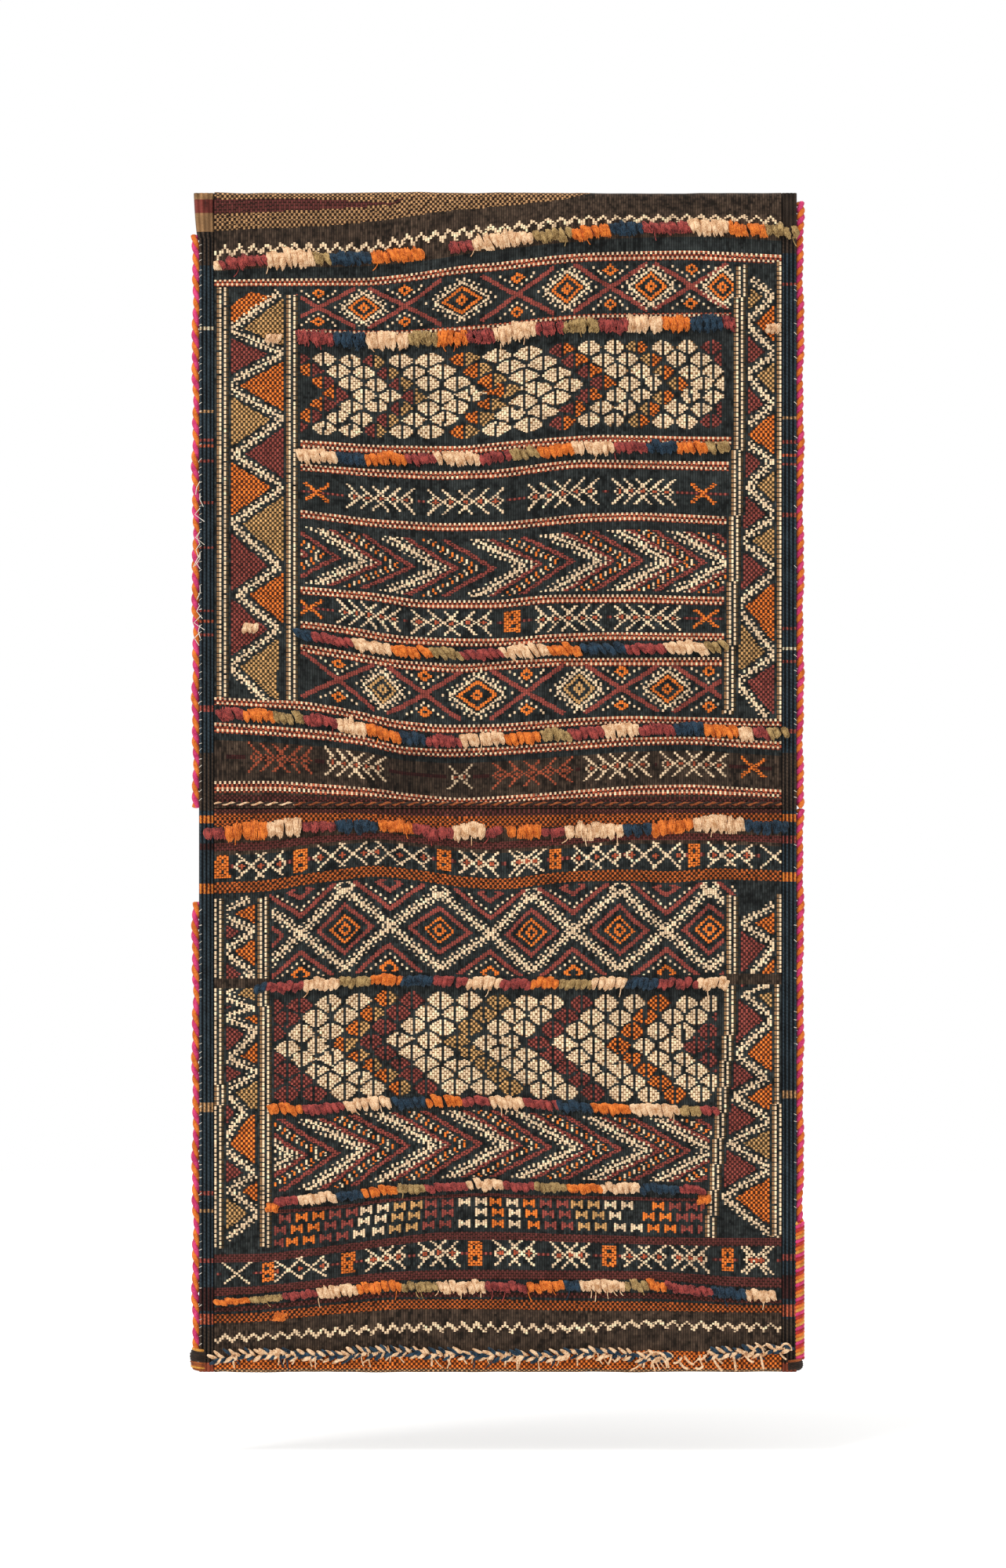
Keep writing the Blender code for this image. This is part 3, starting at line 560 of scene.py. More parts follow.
def chevronBand(chart, look):
    before = chart["dye"].copy()
    slope = look["slope"]
    length = math.hypot(1, slope)
    tips = np.array(look["tips"])
    off = np.abs(chart["handRow"] - look["row"])
    lean = chart["handX"] + slope * off
    k = np.clip(np.searchsorted(tips, lean) - 1, 0, len(tips) - 2)
    period = tips[k + 1] - tips[k]
    share = (lean - tips[k]) / period
    nearTip = np.where(share > 0.5, tips[k + 1], tips[k])
    along = (off - slope * (chart["handX"] - nearTip)) / length
    aside = np.abs(lean - nearTip) / length
    for bar in chevron["bars"]:
        beaded(chart, np.abs(share - bar) * period / length < chevron["halfBar"], "wine", 1)
    pitch = chevron["dashPitch"]
    dashes = np.abs(share - chevron["dashes"]) * period / length < chevron["halfDash"]
    dashes &= (along % pitch) < chevron["dash"]
    first = (along % (2 * pitch)) < pitch
    paint(chart, dashes & first, "cream")
    paint(chart, dashes & ~first, "orange")
    paint(chart, (aside < chevron["reach"]) & ((along % chevron["toothPitch"]) < chevron["tooth"]), "cream")
    paint(chart, aside < chevron["halfSpine"], "cream")
    keepOutside(chart, before, look["span"], (look["row"] - look["half"], look["row"] + look["half"]))


def netBand(chart, look):
    before = chart["dye"].copy()
    row = look["row"]
    top, bottom = look["rows"]
    crossings = look["crossings"]
    for a, b in zip(crossings[:-1], crossings[1:]):
        middle = (a + b) / 2
        half = (b - a) / 2
        for column in (a, b):
            for tip in (row - look["half"], row + look["half"]):
                comb(chart, "cream", (column, row), (middle, tip), (7.0, 7.0), 6.0)
        ring(chart, "wine", (middle, row), (half * 0.62, 31), 0.86, 1.06)
        ring(chart, "orange", (middle, row), (19, 18), 0.82, 1.03)
        ring(chart, "orange", (middle, row), (9, 10), 0.45, 0.95)
        ring(chart, "cream", (middle, top + 5), (13, 9), 0.75, 1.1)
    for column in crossings:
        for down, start in ((-1, 22), (1, 24)):
            dottedArms(chart, (column, row + down * start), down, (44, 36), 5.0, 6, (5.6, 4.6))
        ring(chart, "wine", (column, top + 3), (17, 12), 0.55, 1.05)
        ring(chart, "orange", (column, bottom - 4), (13, 11), 0.55, 1.0)
    keepOutside(chart, before, look["span"], look["rows"])


butterfly = ("x...x", "xx.xx", "xxxxx", "xx.xx", "x...x")


def butterflyBand(chart, look):
    for k, code in enumerate(look["colours"]):
        for line in range(3):
            column = look["first"][0] + k * look["pitch"][0]
            column += line * np.clip((column - 600) / 30, -6, 8)
            row = look["first"][1] + line * look["pitch"][1]
            rib = round((column - chart["left"]) / chart["ribWidth"]) - 2
            pick = round((row - chart["first"]) / chart["pickHeight"]) - 3
            dye = scaleCodes[code][0]
            if look["span"][0] < column < look["span"][1] and random.uniform() < 0.95:
                for down, marks in enumerate(butterfly):
                    for across, mark in enumerate(marks):
                        if mark == "x":
                            spot = slice(pick + down + down // 2, pick + down + down // 2 + 2)
                            chart["dye"][spot, rib + across] = dyeNames.index(dye)


def dotColumn(chart, course):
    middle = np.interp(chart["drop"], [p[1] for p in course], [p[0] for p in course])
    rib = np.round((middle - chart["left"]) / chart["ribWidth"]).astype(int)
    offset = chart["rib"] - rib
    rows = between(chart["drop"], course[0][1], course[-1][1])
    paint(chart, rows & between(offset, -3, 4), "night")
    line = np.floor(chart["drop"] / bag["pick"]).astype(int)
    for place, dye, start in ((-2, "bone", 0), (-1, "cream", 0), (1, "cream", 2), (2, "moss", 2)):
        paint(chart, rows & (offset == place) & ((line + start) % 4 < 3), dye)


def patch(chart, points, dye):
    # a filled shape with straight sides, its corners given clockwise
    where = np.ones(chart["dye"].shape, bool)
    for a, b in zip(points, points[1:] + points[:1]):
        turn = (b[0] - a[0]) * (chart["handDrop"] - a[1]) - (b[1] - a[1]) * (chart["handX"] - a[0])
        where &= turn > 0
    beaded(chart, where, dye)


def combColumn(chart, points, fills):
    x = chart["handX"]
    y = chart["handDrop"]
    for k in range(1, len(points) - 1):
        a, b, c = points[k - 1], points[k], points[k + 1]
        side = 1 if a[0] > b[0] else -1
        where = between(y, a[1] + 4, c[1] - 4) & ((x - (a[0] + c[0]) / 2) * side < 7)
        for p, q in ((a, b), (b, c)):
            run = math.hypot(q[0] - p[0], q[1] - p[1])
            where &= ((x - p[0]) * (q[1] - p[1]) - (y - p[1]) * (q[0] - p[0])) / run * side > 9
        beaded(chart, where, scaleCodes[fills[(k - 1) % len(fills)]][0])
    for a, b in zip(points[:-1], points[1:]):
        comb(chart, "cream", a, b, (5.9, 5.9), rows="handDrop")


def finishBorders(chart, design):
    for side in ("left", "right"):
        combColumn(chart, design[side + "Comb"], design[side + "Fills"])
    for course in design["columns"]:
        dotColumn(chart, course)


upperDesign = {
    "tanStripe": [(245, 297), (290, 295), (422, 290), (504, 281), (559, 272), (641, 265), (734, 255),
                  (790, 228), (1030, 228)],
    "wineTop": [(245, 256), (400, 256), (520, 262), (530, 228), (1030, 228)],
    "wineBottom": [(245, 275), (400, 270), (520, 262), (530, 228), (1030, 228)],
    "field": (380, 931),
    "whole": (272, 1000),
    "ground": (322, 962),
    "zigzag": 299,
    "firstPair": 343,
    "singleRow": 418,
    "fieldPairs": (568, 599, 666, 765, 812, 845),
    "lastPairs": (918, 949, 1010),
    "saddleStripes": [(1022, 9, "madder", 2)],  # row, height, dye and gap between the beads
    "faded": (955, 1004),
    "darkPatch": {"rows": (955, 1012), "columns": (470, 602)},
    "leftComb": [(356, 375), (294, 422), (362, 452), (289, 493), (362, 536), (298, 581), (362, 622),
                 (296, 669), (357, 724), (304, 759), (356, 803), (293, 850), (340, 896)],
    "leftFills": "KWOKWOKWOWK",
    "rightComb": [(942, 348), (986, 380), (949, 412), (988, 452), (951, 479), (986, 517), (937, 555),
                  (984, 590), (951, 623), (991, 658), (943, 690), (991, 727), (937, 773), (988, 835),
                  (937, 869), (977, 915)],
    "rightFills": "KOWKWOWKWKWOKW",
    "columns": [[(282, 368), (282, 896)], [(372, 378), (372, 902)],
                [(943, 340), (940, 560), (927, 912)], [(997, 336), (996, 918)]],
    "corner": [(286, 398), (320, 374), (346, 380), (292, 418)],
}
lozengesTop = {
    "row": 380, "half": 36, "span": (377, 936),
    "crossings": [407, 517, 660, 778, 880],
    "lozenges": [(column, (wide, 22), "orange")
                 for column, wide in ((464, 26), (589, 34), (723, 27), (829, 27), (921, 24))],
}
lozengesLow = {
    "row": 878, "half": 34, "span": (377, 928),
    "crossings": [432, 542, 672, 792, 904],
    "lozenges": [(488, (24, 22), "khaki"), (609, (34, 23), "orange"), (738, (27, 22), "khaki"),
                 (850, (29, 22), "orange")],
}
scalesTop = {
    "span": (378, 922), "rows": [454 + 15.1 * k for k in range(7)], "direction": 1, "shift": 17.0,
    "tall": 9.4, "worn": 0.30,
    "columns": [379, 414, 447, 478, 512, 549, 593, 634, 674, 717, 751, 783, 812, 845, 875, 906],
    "colours": "RCCLCCQCCTCCGCCW",
}
scalesLow = {
    "span": (350, 913), "rows": [1279, 1296, 1313, 1332, 1348, 1362, 1376, 1391], "direction": -1,
    "shift": 17.7, "tall": 11.0, "worn": 0.34,
    "columns": [348, 384, 421, 458, 493, 526, 562, 600, 636, 672, 705, 740, 773, 809, 841, 875, 906, 939,
                965],
    "colours": "WWCCQWCCKCCWCCOCCWW",
}
figuresTop = {
    "row": 633, "ground": "night", "span": (381, 929), "draw": chainFigure,
    "figures": [(443, 529), (544, 644), (672, 763), (781, 860)], "crosses": (405, 896),
}
figuresLow = {
    "row": 788, "ground": "night", "span": (381, 929), "draw": chainFigure,
    "figures": [(431, 512), (523, 630), (682, 769), (782, 868)], "blocks": [(644, 664)],
    "crosses": (397, 900),
}
chevronsTop = {
    "row": 718, "half": 37, "span": (380, 931), "slope": 1.7,
    "tips": [372, 466, 560, 669, 764, 850, 925, 1000, 1080],
}
chevronsLow = {
    "row": 1463, "half": 42, "span": (343, 915), "slope": 1.7,
    "tips": [372, 463, 554, 645, 733, 824, 909, 990, 1075],
}
figuresFaded = {
    "row": 979, "ground": "brown", "span": (290, 985), "draw": chainFigure, "line": "plum",
    "figures": [(318, 400), (416, 492), (574, 601), (627, 731), (744, 830), (841, 927)],
    "dyes": ["rust", "cream", "cream", "rust", "cream", "cream"], "crosses": (960,),
}
figuresSaddle = {
    "row": 1095, "ground": "night", "span": (278, 1000), "draw": latticeFigure,
    "figures": [(303, 363), (405, 469), (479, 544), (585, 637), (649, 695), (731, 790), (803, 868),
                (902, 959), (971, 1003)],
    "blocks": [(275, 294), (375, 392), (558, 575), (700, 716), (877, 892)],
}
figuresHem = {
    "row": 1608, "ground": "night", "span": (278, 1000), "draw": latticeFigure,
    "figures": [(286, 319), (351, 416), (467, 519), (533, 586), (629, 683), (702, 752), (794, 849),
                (854, 904), (943, 986)],
    "blocks": [(334, 349), (437, 453), (597, 614), (767, 786), (920, 936)],
}
netSaddle = {
    "row": 1187, "half": 50, "rows": (1129, 1244), "span": (343, 938),
    "crossings": [272, 384, 497, 625, 731, 849, 960],
}
butterflies = {
    "first": (364, 1538), "pitch": (20.6, 15.3), "span": (350, 912),
    "colours": "WOOWWCCKKWWCCOCOWWKKCCOOWWW",
}
lowerDesign = {
    "whole": (272, 1000),
    "ground": (1082, 1660),
    "saddleStripes": [(1036.5, 5, "madder", 2), (1044, 12, "burnt", 2), (1073, 10, "madder", 1)],
    "netStripe": [(1119, 13, "burnt", 2)],
    "scaleStripe": [(1529, 5, "madder", 1)],
    "scaleSpan": (345, 908),
    "borderBreak": (1243, 1256),
    "sideStrips": ((272, 345), (925, 1000)),
    "figureStripe": [(1588, 10, "madder", 1)],
    "hemStripes": [(1631, 11, "madder", 1), (1655, 6, "madder", 2), (1667, 12, "burnt", 2)],
    "zigzag": 1695,
    "orangeHem": 1727,
    "tanEnd": 1744,
    "leftComb": [(318, 1146), (282, 1165), (326, 1187), (285, 1212), (323, 1242), (285, 1270), (325, 1285),
                 (285, 1296), (329, 1315), (292, 1349), (331, 1367), (286, 1389), (312, 1417), (283, 1459),
                 (326, 1496), (293, 1516), (332, 1546), (289, 1579)],
    "rightComb": [(996, 1148), (945, 1177), (988, 1204), (956, 1243), (980, 1256), (948, 1266), (986, 1299),
                  (937, 1343), (977, 1374), (935, 1398), (983, 1428), (929, 1457), (983, 1489), (921, 1525),
                  (983, 1574)],
    "leftFills": "OWOWKWOWOWKWOWOK",
    "rightFills": "OWOWKWOWOWKWO",
    "columns": [[(277, 1146), (279, 1400), (276, 1590)], [(334, 1144), (339, 1400), (337, 1590)],
                [(933, 1142), (929, 1300), (903, 1580)], [(996, 1140), (988, 1580)]],
}


def weaveUpper():
    chart = makeChart(upperLines)
    design = upperDesign
    whole = design["whole"]
    x = chart["x"]
    paint(chart, between(chart["row"], *design["ground"]), "night")
    beaded(chart, chart["drop"] < smoothLine(design["tanStripe"], x), "tan")
    wineEdges = [smoothLine(design[edge], x) for edge in ("wineTop", "wineBottom")]
    beaded(chart, between(chart["drop"], *wineEdges), "madder", 1)
    zigzagLine(chart, design["zigzag"], whole)
    lozengeBand(chart, lozengesTop)
    dottedPair(chart, design["firstPair"], whole)
    dottedPair(chart, design["singleRow"], design["field"], True)
    fishScales(chart, scalesTop)
    for row in design["fieldPairs"]:
        dottedPair(chart, row, design["field"])
    figureBand(chart, figuresTop)
    chevronBand(chart, chevronsTop)
    figureBand(chart, figuresLow)
    lozengeBand(chart, lozengesLow)
    patch(chart, design["corner"], "orange")
    finishBorders(chart, design)
    for row in design["lastPairs"]:
        dottedPair(chart, row, whole)
    figureBand(chart, figuresFaded)
    stripes(chart, design["saddleStripes"], whole)
    # a darker patch of the cloth above the lip, left of the middle, multiplied into its colour
    darkPatch = between(chart["drop"], *design["darkPatch"]["rows"]) & between(x, *design["darkPatch"]["columns"])
    chart["shade"][darkPatch] = 0.7
    chart["shade"][between(chart["row"], *design["faded"])] *= 0.82
    return chart


def weaveLower():
    chart = makeChart(lowerLines)
    design = lowerDesign
    whole = design["whole"]
    paint(chart, between(chart["row"], *design["ground"]), "night")
    stripes(chart, design["saddleStripes"], whole)
    figureBand(chart, figuresSaddle)
    netBand(chart, netSaddle)
    stripes(chart, design["netStripe"], whole)
    fishScales(chart, scalesLow)
    chevronBand(chart, chevronsLow)
    stripes(chart, design["scaleStripe"], design["scaleSpan"])
    butterflyBand(chart, butterflies)
    finishBorders(chart, design)
    for span in design["sideStrips"]:
        broken = between(chart["row"], *design["borderBreak"]) & between(chart["x"], *span)
        paint(chart, broken, "brown")
    stripes(chart, design["figureStripe"], whole)
    figureBand(chart, figuresHem)
    stripes(chart, design["hemStripes"], whole)
    zigzagLine(chart, design["zigzag"], whole)
    beaded(chart, chart["row"] > design["orangeHem"], "orange")
    beaded(chart, chart["drop"] > design["tanEnd"], "tan")
    return chart


# Hand-spun wool is uneven: each bead, each thread and each patch of cloth takes its own depth of dye
unevenDye = {"bead": 0.16, "spot": 0.08, "patch": 0.06, "thread": 0.03, "longStreak": 0.46,
             "shortStreak": 0.34}


def finishChart(chart):
    shape = chart["dye"].shape
    thread = unevenDye["thread"]
    ground = chart["dye"] < groundDyes
    bead = np.repeat(random.normal(size=(shape[0] // 2 + 1, shape[1])), 2, axis=0)[:shape[0]]
    uneven = bead * unevenDye["bead"] + softNoise(*shape, 5, 3) * unevenDye["spot"]
    uneven += softNoise(*shape, 40, 22) * unevenDye["patch"]
    uneven += random.normal(size=(shape[0], 1)) * thread + random.normal(size=(1, shape[1])) * thread
    streak = softNoise(*shape, 5, 1) * unevenDye["longStreak"]
    streak += softNoise(*shape, 2, 1) * unevenDye["shortStreak"]
    factor = np.clip(1 + uneven + np.where(ground, streak, 0), 0.3, 2.3) * chart["shade"]
    chart["colour"] = np.clip(dyeColours[chart["dye"]] * factor[:, :, None], 0, 1)
    chart["bead"] = np.where(ground, 0.2, 1.0)
    tall = chart["edgeDrops"].shape
    waves = 0.5 * np.abs(softNoise(*tall, 44, 26)) + 0.25 * np.abs(softNoise(*tall, 16, 9))
    chart["out"] = meanOfFour(np.pad(lifts[chart["dye"]], 1, mode="edge")) + bag["pucker"] * waves
    return chart


upperChart = finishChart(weaveUpper())
lowerChart = finishChart(weaveLower())
print("charts woven", upperChart["dye"].shape, lowerChart["dye"].shape)


def throughFold(drop, out):
    # where the cloth lies: flat in front, and round the folded edges to the back
    z = toZ(drop)
    y = frontY - out
    radius = foldRadius + out
    for centre, side in ((topZ - foldRadius, 1), (bottomZ + foldRadius, -1)):
        angle = np.clip((toZ(drop) - centre) * side / foldRadius, 0, math.pi)
        y = np.where(angle > 0, -foldRadius - radius * np.cos(angle), y)
        z = np.where(angle > 0, centre + side * radius * np.sin(angle), z)
    return y, z


def gridMesh(name, across, down):
    shape = bmesh.new()
    bmesh.ops.create_grid(shape, x_segments=across, y_segments=down, size=1.0)
    mesh = bpy.data.meshes.new(name)
    shape.to_mesh(mesh)
    shape.free()
    spots = np.empty(len(mesh.vertices) * 3)
    mesh.vertices.foreach_get("co", spots)
    spots = spots.reshape(-1, 3)
    column = np.rint((spots[:, 0] + 1) / 2 * across).astype(int)
    line = np.rint((1 - spots[:, 1]) / 2 * down).astype(int)
    return mesh, column, line


def placeMesh(mesh, x, y, z):
    mesh.vertices.foreach_set("co", np.column_stack([x, y, z]).astype(np.float32).ravel())
    mesh.update()


def dressMesh(mesh, column, line, colours, beads, picksToBead=1):
    # one dye to a face, and the weave counted in ribs and beads
    corners = np.empty(len(mesh.loops), int)
    mesh.loops.foreach_get("vertex_index", corners)
    faces = corners.reshape(-1, 4)
    rib = column[faces].min(axis=1)
    pick = line[faces].min(axis=1)
    perFace = np.column_stack([colours[pick, rib], beads[pick, rib]])
    dye = mesh.color_attributes.new("dye", "BYTE_COLOR", "CORNER")
    dye.data.foreach_set("color", np.repeat(perFace, 4, axis=0).astype(np.float32).ravel())
    weave = mesh.uv_layers.new(name="weave")
    counted = np.column_stack([column[corners], line[corners] / picksToBead])
    weave.data.foreach_set("uv", counted.astype(np.float32).ravel())
    mesh.polygons.foreach_set("use_smooth", np.ones(len(mesh.polygons), bool))


def addPiece(name, mesh, materials):
    piece = bpy.data.objects.new(name, mesh)
    bpy.context.scene.collection.objects.link(piece)
    for material in materials:
        mesh.materials.append(material)
    return piece


def weavePiece(name, chart, ribs, picks):
    mesh, column, line = gridMesh(name, ribs[1] - ribs[0], picks[1] - picks[0])
    spot = (line + picks[0], column + ribs[0])
    y, z = throughFold(chart["edgeDrops"][spot], chart["out"][spot])
    placeMesh(mesh, toX(chart["edgeColumns"][column + ribs[0]]), y, z)
    part = (slice(*picks), slice(*ribs))
    dressMesh(mesh, column, line, chart["colour"][part], chart["bead"][part], 2)
    return addPiece(name, mesh, [patternedWool])


def plainPiece(name, x, z, y, pitch, dye, ripple):
    across = max(4, round((x[1] - x[0]) / pitch))
    down = max(4, round((z[1] - z[0]) / pitch))
    mesh, column, line = gridMesh(name, across, down)
    wave = np.abs(softNoise(down + 1, across + 1, 12, 12)[line, column]) * ripple
    wave *= np.minimum(line, down - line) > 1
    placeMesh(mesh, x[0] + (x[1] - x[0]) * column / across, y - wave, z[1] - (z[1] - z[0]) * line / down)
    rows = z[1] - (np.arange(down) + 0.5) * (z[1] - z[0]) / down
    shade = 1 + random.normal(size=(down, across)) * 0.1 + softNoise(down, across, 16, 16) * 0.06
    dressMesh(mesh, column, line, dyeColours[dye(rows)][:, None, :] * shade[:, :, None],
              np.full((down, across), 0.4))
    mesh.flip_normals()
    return addPiece(name, mesh, [plainWool])


def brownOnly(rows):
    return np.zeros(len(rows), int)


clothPieces = {"hemSeam": {"upper": 350, "lower": 1619}, "turn": 0.018, "liningPitch": 0.0055}


def ribAt(chart, x):
    return round((toColumn(x) - chart["left"]) / chart["ribWidth"])


def sideBlend(piece):
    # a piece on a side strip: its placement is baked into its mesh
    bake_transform(piece)


def makeFace(half, chart):
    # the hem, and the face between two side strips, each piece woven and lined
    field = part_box(half + "_field")
    left = ribAt(chart, field[0].x)
    right = ribAt(chart, field[1].x)
    seam = round((clothPieces["hemSeam"][half] - chart["first"]) / chart["pickHeight"])
    hemPicks = (0, seam)
    facePicks = (seam, chart["picks"])
    away = clothPieces["turn"]
    if half == "lower":
        hemPicks, facePicks = facePicks, hemPicks
        away = -away
    parts = {"hem": ((0, chart["ribs"]), hemPicks), "left_border": ((0, left), facePicks),
             "field": ((left, right), facePicks), "right_border": ((right, chart["ribs"]), facePicks)}
    for name, (ribs, picks) in parts.items():
        low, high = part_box(half + "_" + name)
        piece = weavePiece(half + "_" + name + "_cloth", chart, ribs, picks)
        lining = plainPiece(half + "_" + name + "_lining", (low.x, high.x), (low.z, high.z), liningY,
                            clothPieces["liningPitch"], brownOnly, 0.0)
        for cloth in (piece, lining):
            if name in ("hem", "field"):
                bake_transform(cloth)
            else:
                sideBlend(cloth)
        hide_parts(*([half + "_hem", half + "_fold"] if name == "hem" else [half + "_" + name]))


makeFace("upper", upperChart)
makeFace("lower", lowerChart)
print("patterned cloths hung")

# Plain weft-faced back with a few coloured stripes, guessed from bags of this kind
backCloth = {
    "pitch": 0.0038,
    "wall": 0.0033,
    "ripple": 0.0004,
    # distance from the saddle line, width and dye of each, in both pouches
    "stripes": [(0.060, 0.010, "wine"), (0.150, 0.024, "navy"), (0.165, 0.004, "orange"),
                (0.300, 0.030, "wine"), (0.325, 0.004, "tan"), (0.440, 0.024, "navy"),
                (0.455, 0.004, "orange"), (0.540, 0.012, "wine")],
}


def backStripes(rows):
    dye = np.zeros(len(rows), int)
    for distance, width, yarn in backCloth["stripes"]:
        dye[np.abs(np.abs(rows - saddleZ) - distance) < width / 2] = dyeNames.index(yarn)
    return dye


for half, span in (("upper", (saddleZ, topZ - foldRadius)), ("lower", (bottomZ + foldRadius, saddleZ))):
    back = plainPiece(half + "_back_cloth", (-clothEdge, clothEdge), span, 0.0, backCloth["pitch"],
                      backStripes, backCloth["ripple"])
    wall = back.modifiers.new("wall", "SOLIDIFY")
    wall.thickness = backCloth["wall"]
    wall.offset = -1
    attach(back, half + "_pouch")
    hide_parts(half + "_back")
print("backs made")


def layYarns(name, strands, radius, yarns, sides=0):
    # strands are (points, thickness at each point, which yarn), laid as round yarns
    curve = bpy.data.curves.new(name, "CURVE")
    curve.dimensions = "3D"
    curve.bevel_depth = radius
    curve.bevel_resolution = sides
    curve.use_fill_caps = True
    for yarn in yarns:
        curve.materials.append(spun[yarn])
    for points, thickness, tint in strands:
        spline = curve.splines.new("POLY")
        spline.points.add(len(points) - 1)
        spline.points.foreach_set("co", np.column_stack([points, np.ones(len(points))]).ravel())
        spline.points.foreach_set("radius", np.broadcast_to(thickness, len(points)).astype(np.float32))
        spline.material_index = tint
    line = bpy.data.objects.new(name + "Line", curve)
    bpy.context.scene.collection.objects.link(line)
    bpy.context.view_layer.update()
    mesh = bpy.data.meshes.new_from_object(line.evaluated_get(bpy.context.evaluated_depsgraph_get()))
    bpy.data.objects.remove(line)
    mesh.name = name
    mesh.polygons.foreach_set("use_smooth", np.ones(len(mesh.polygons), bool))
    return addPiece(name, mesh, [])


def placed(columns, out, rows):
    # chart columns and rows, and how far each point stands out from the cloth
    return np.column_stack([toX(np.asarray(columns)), frontY - np.asarray(out), toZ(np.asarray(rows))])


# Pile of the tufted rows: round locks of loose threads that sweep down and aside, each lying over the next.
# For each row: width, height and lean of a lock, curl of its threads, share that stands up, share that hangs
pile = {
    "threads": 6,
    "radius": 0.00092,
    "depth": 0.0066,
    "yarns": ["cream", "wine", "khaki", "navy", "orange"],
    "loose": {"cream": 0.8, "wine": 1.3, "khaki": 1.1, "navy": 1.2, "orange": 1.0},
    "full": {"cream": 1.12, "wine": 0.88, "khaki": 0.92, "navy": 1.0, "orange": 1.0},
    "rows": {
        1: (7.4, 18, -4, 1.2, 0.22, 0.05), 2: (8.0, 22, -1, 1.6, 0.12, 0.05),
        3: (7.4, 17, -4, 1.0, 0.05, 0.03), 4: (7.2, 16, -8, 0.6, 0.03, 0.02),
        5: (7.4, 18, -4, 1.0, 0.06, 0.04), 6: (10.5, 19, -1, 0.8, 0.10, 0.10),
        7: (6.9, 15, 3, 0.4, 0.0, 0.02), 8: (7.1, 15, -4, 0.4, 0.0, 0.02),
        9: (7.1, 13, -3, 0.4, 0.02, 0.02), 10: (7.4, 15, -3, 1.0, 0.05, 0.16),
    },
    "stray": (6.0, 12, 3, 1.4, 0.0, 0.0),
    "extras": {9: [(348, 1539), (897, 1529)], 10: [(357, 1678)]},
}
# Each block of a row: its yarn, the columns it fills and, where it is worn or fuller than its row, how full
tuftRows = {
    1: "C272-282*0.6 W282-342 C342-400*1.3 K400-422 N422-475 O475-540 W572-603 C603-680 K680-728 "
       "O728-778 N778-819 W819-878 C878-929*1.1 O929-976 K976-1016",
    2: "W381-425 N425-468 C468-521 K521-558 O558-595 W595-630 C630-683 W683-718 K718-763 W763-801 C801-844 "
       "O844-880 N880-921 W921-937",
    3: "C379-430 N430-467 O467-518 W518-556 C556-611 W611-649 K649-688 O688-731 C731-782 W782-825 N825-862 "
       "O862-901 K901-929",
    4: "N378-397 W397-449 C449-498 O498-550 K550-589 W589-641 C641-700 O700-742 N742-798 W798-850 C850-902 "
       "K902-925",
    5: "W278-312 O312-351 K351-389 W389-433 C433-468 O468-511 N511-543 W543-589 C589-644 O644-690 K690-728 "
       "W728-769 C769-814 W814-860 N860-897 O897-939 C939-961 W961-980 K980-1004",
    6: "W262-289 O289-341*1.3 C341-386*1.25 W386-430 N430-482 O482-527*0.85 W527-580 C580-619*1.1 "
       "W619-642*0.7 O645-656*0.8 O661-691 W691-721*0.7 C723-795 N795-831 O831-881 C882-948*1.1 N948-1004",
    7: "N327-340 W340-388 C388-433 K433-474 O474-512 N512-552 W552-595 C595-637 W637-677 O677-712 K712-755 "
       "C755-799 N799-838 W838-889 C889-928",
    8: "O342-386 W386-439 C439-499 N499-543 O543-589 W589-626 C626-666 W666-711 N711-755 O755-804 C804-865 "
       "K865-892 W892-915",
    9: "W351-380 C380-431 N431-463 O463-508 K508-542 W542-597 C597-643 W643-682 K682-722 O722-767 C767-815 "
       "N815-865 W866-899",
    10: "O275-319*0.5 K319-362*0.6 W362-405*0.75 C405-457 O457-512 K512-559 C559-620 W620-674 O674-720 "
        "N720-739 C739-796 K796-826 O826-848 W848-908 N908-951 C951-988",
}
yarnLetters = dict(zip("CWKNO", pile["yarns"]))


def lockOfThreads(column, row, yarn, shape, fullness=1.0):
    width, height, lean, curl, flare, fringe = shape
    tint = pile["yarns"].index(yarn)
    steps = np.linspace(0, 1, 6)
    height = height * fullness * pile["full"][yarn] * random.uniform(0.86, 1.12)
    lean = lean * random.uniform(0.5, 1.4)
    swirl = random.uniform(-1.2, 1.8)
    plump = random.uniform(0.75, 1.0) * min(fullness, 1.0)
    up = random.uniform() < flare
    threads = []
    for k in range(pile["threads"]):
        share = (k + 0.5) / pile["threads"] - 0.5
        reach = height * random.uniform(0.84, 1.0) * (1 - 0.9 * share * share)
        spread = width * 1.15 * share * (1 - 0.35 * steps ** 2)
        sway = curl * pile["loose"][yarn] * random.uniform(0.3, 1.0)
        wave = sway * np.sin(steps * 8 + random.uniform(0, 6))
        columns = column + lean * (0.5 - steps) + spread + swirl * np.sin(steps * math.pi) + wave
        rows = row - height * 0.5 + reach * steps ** 0.85 + 2.5 * abs(share) + wave * 0.5
        if up:
            columns = column - lean * (0.5 - steps) + spread * 1.2 + wave
            rows = row + height * 0.42 - reach * 1.12 * steps
        bulge = np.sin(np.clip(steps * 1.02, 0, 1) * math.pi) ** 0.5 * (1 - 4 * share * share) ** 0.7
        out = 0.0006 + pile["depth"] * plump * random.uniform(0.82, 1.0) * bulge
        thickness = np.array([0.9, 1.1, 1.2, 1.2, 1.0, 0.6]) * random.uniform(0.8, 1.2)
        threads.append((placed(columns, out, rows), thickness, tint))
    if random.uniform() < fringe * (3 if yarn == "cream" else 1):
        drop = random.uniform(6, 13)
        columns = column - 3 + random.normal() * 3 * steps ** 2
        points = placed(columns, 0.003 - 0.0018 * steps, row + height * 0.35 + drop * steps)
        threads.append((points, 0.55, tint))
    return threads


def strayTuft(column, row, yarn, gap):
    # three short locks side by side
    locks = [lockOfThreads(column + gap * k, row, yarn, pile["stray"]) for k in (-1, 0, 1)]
    return [thread for lock in locks for thread in lock]


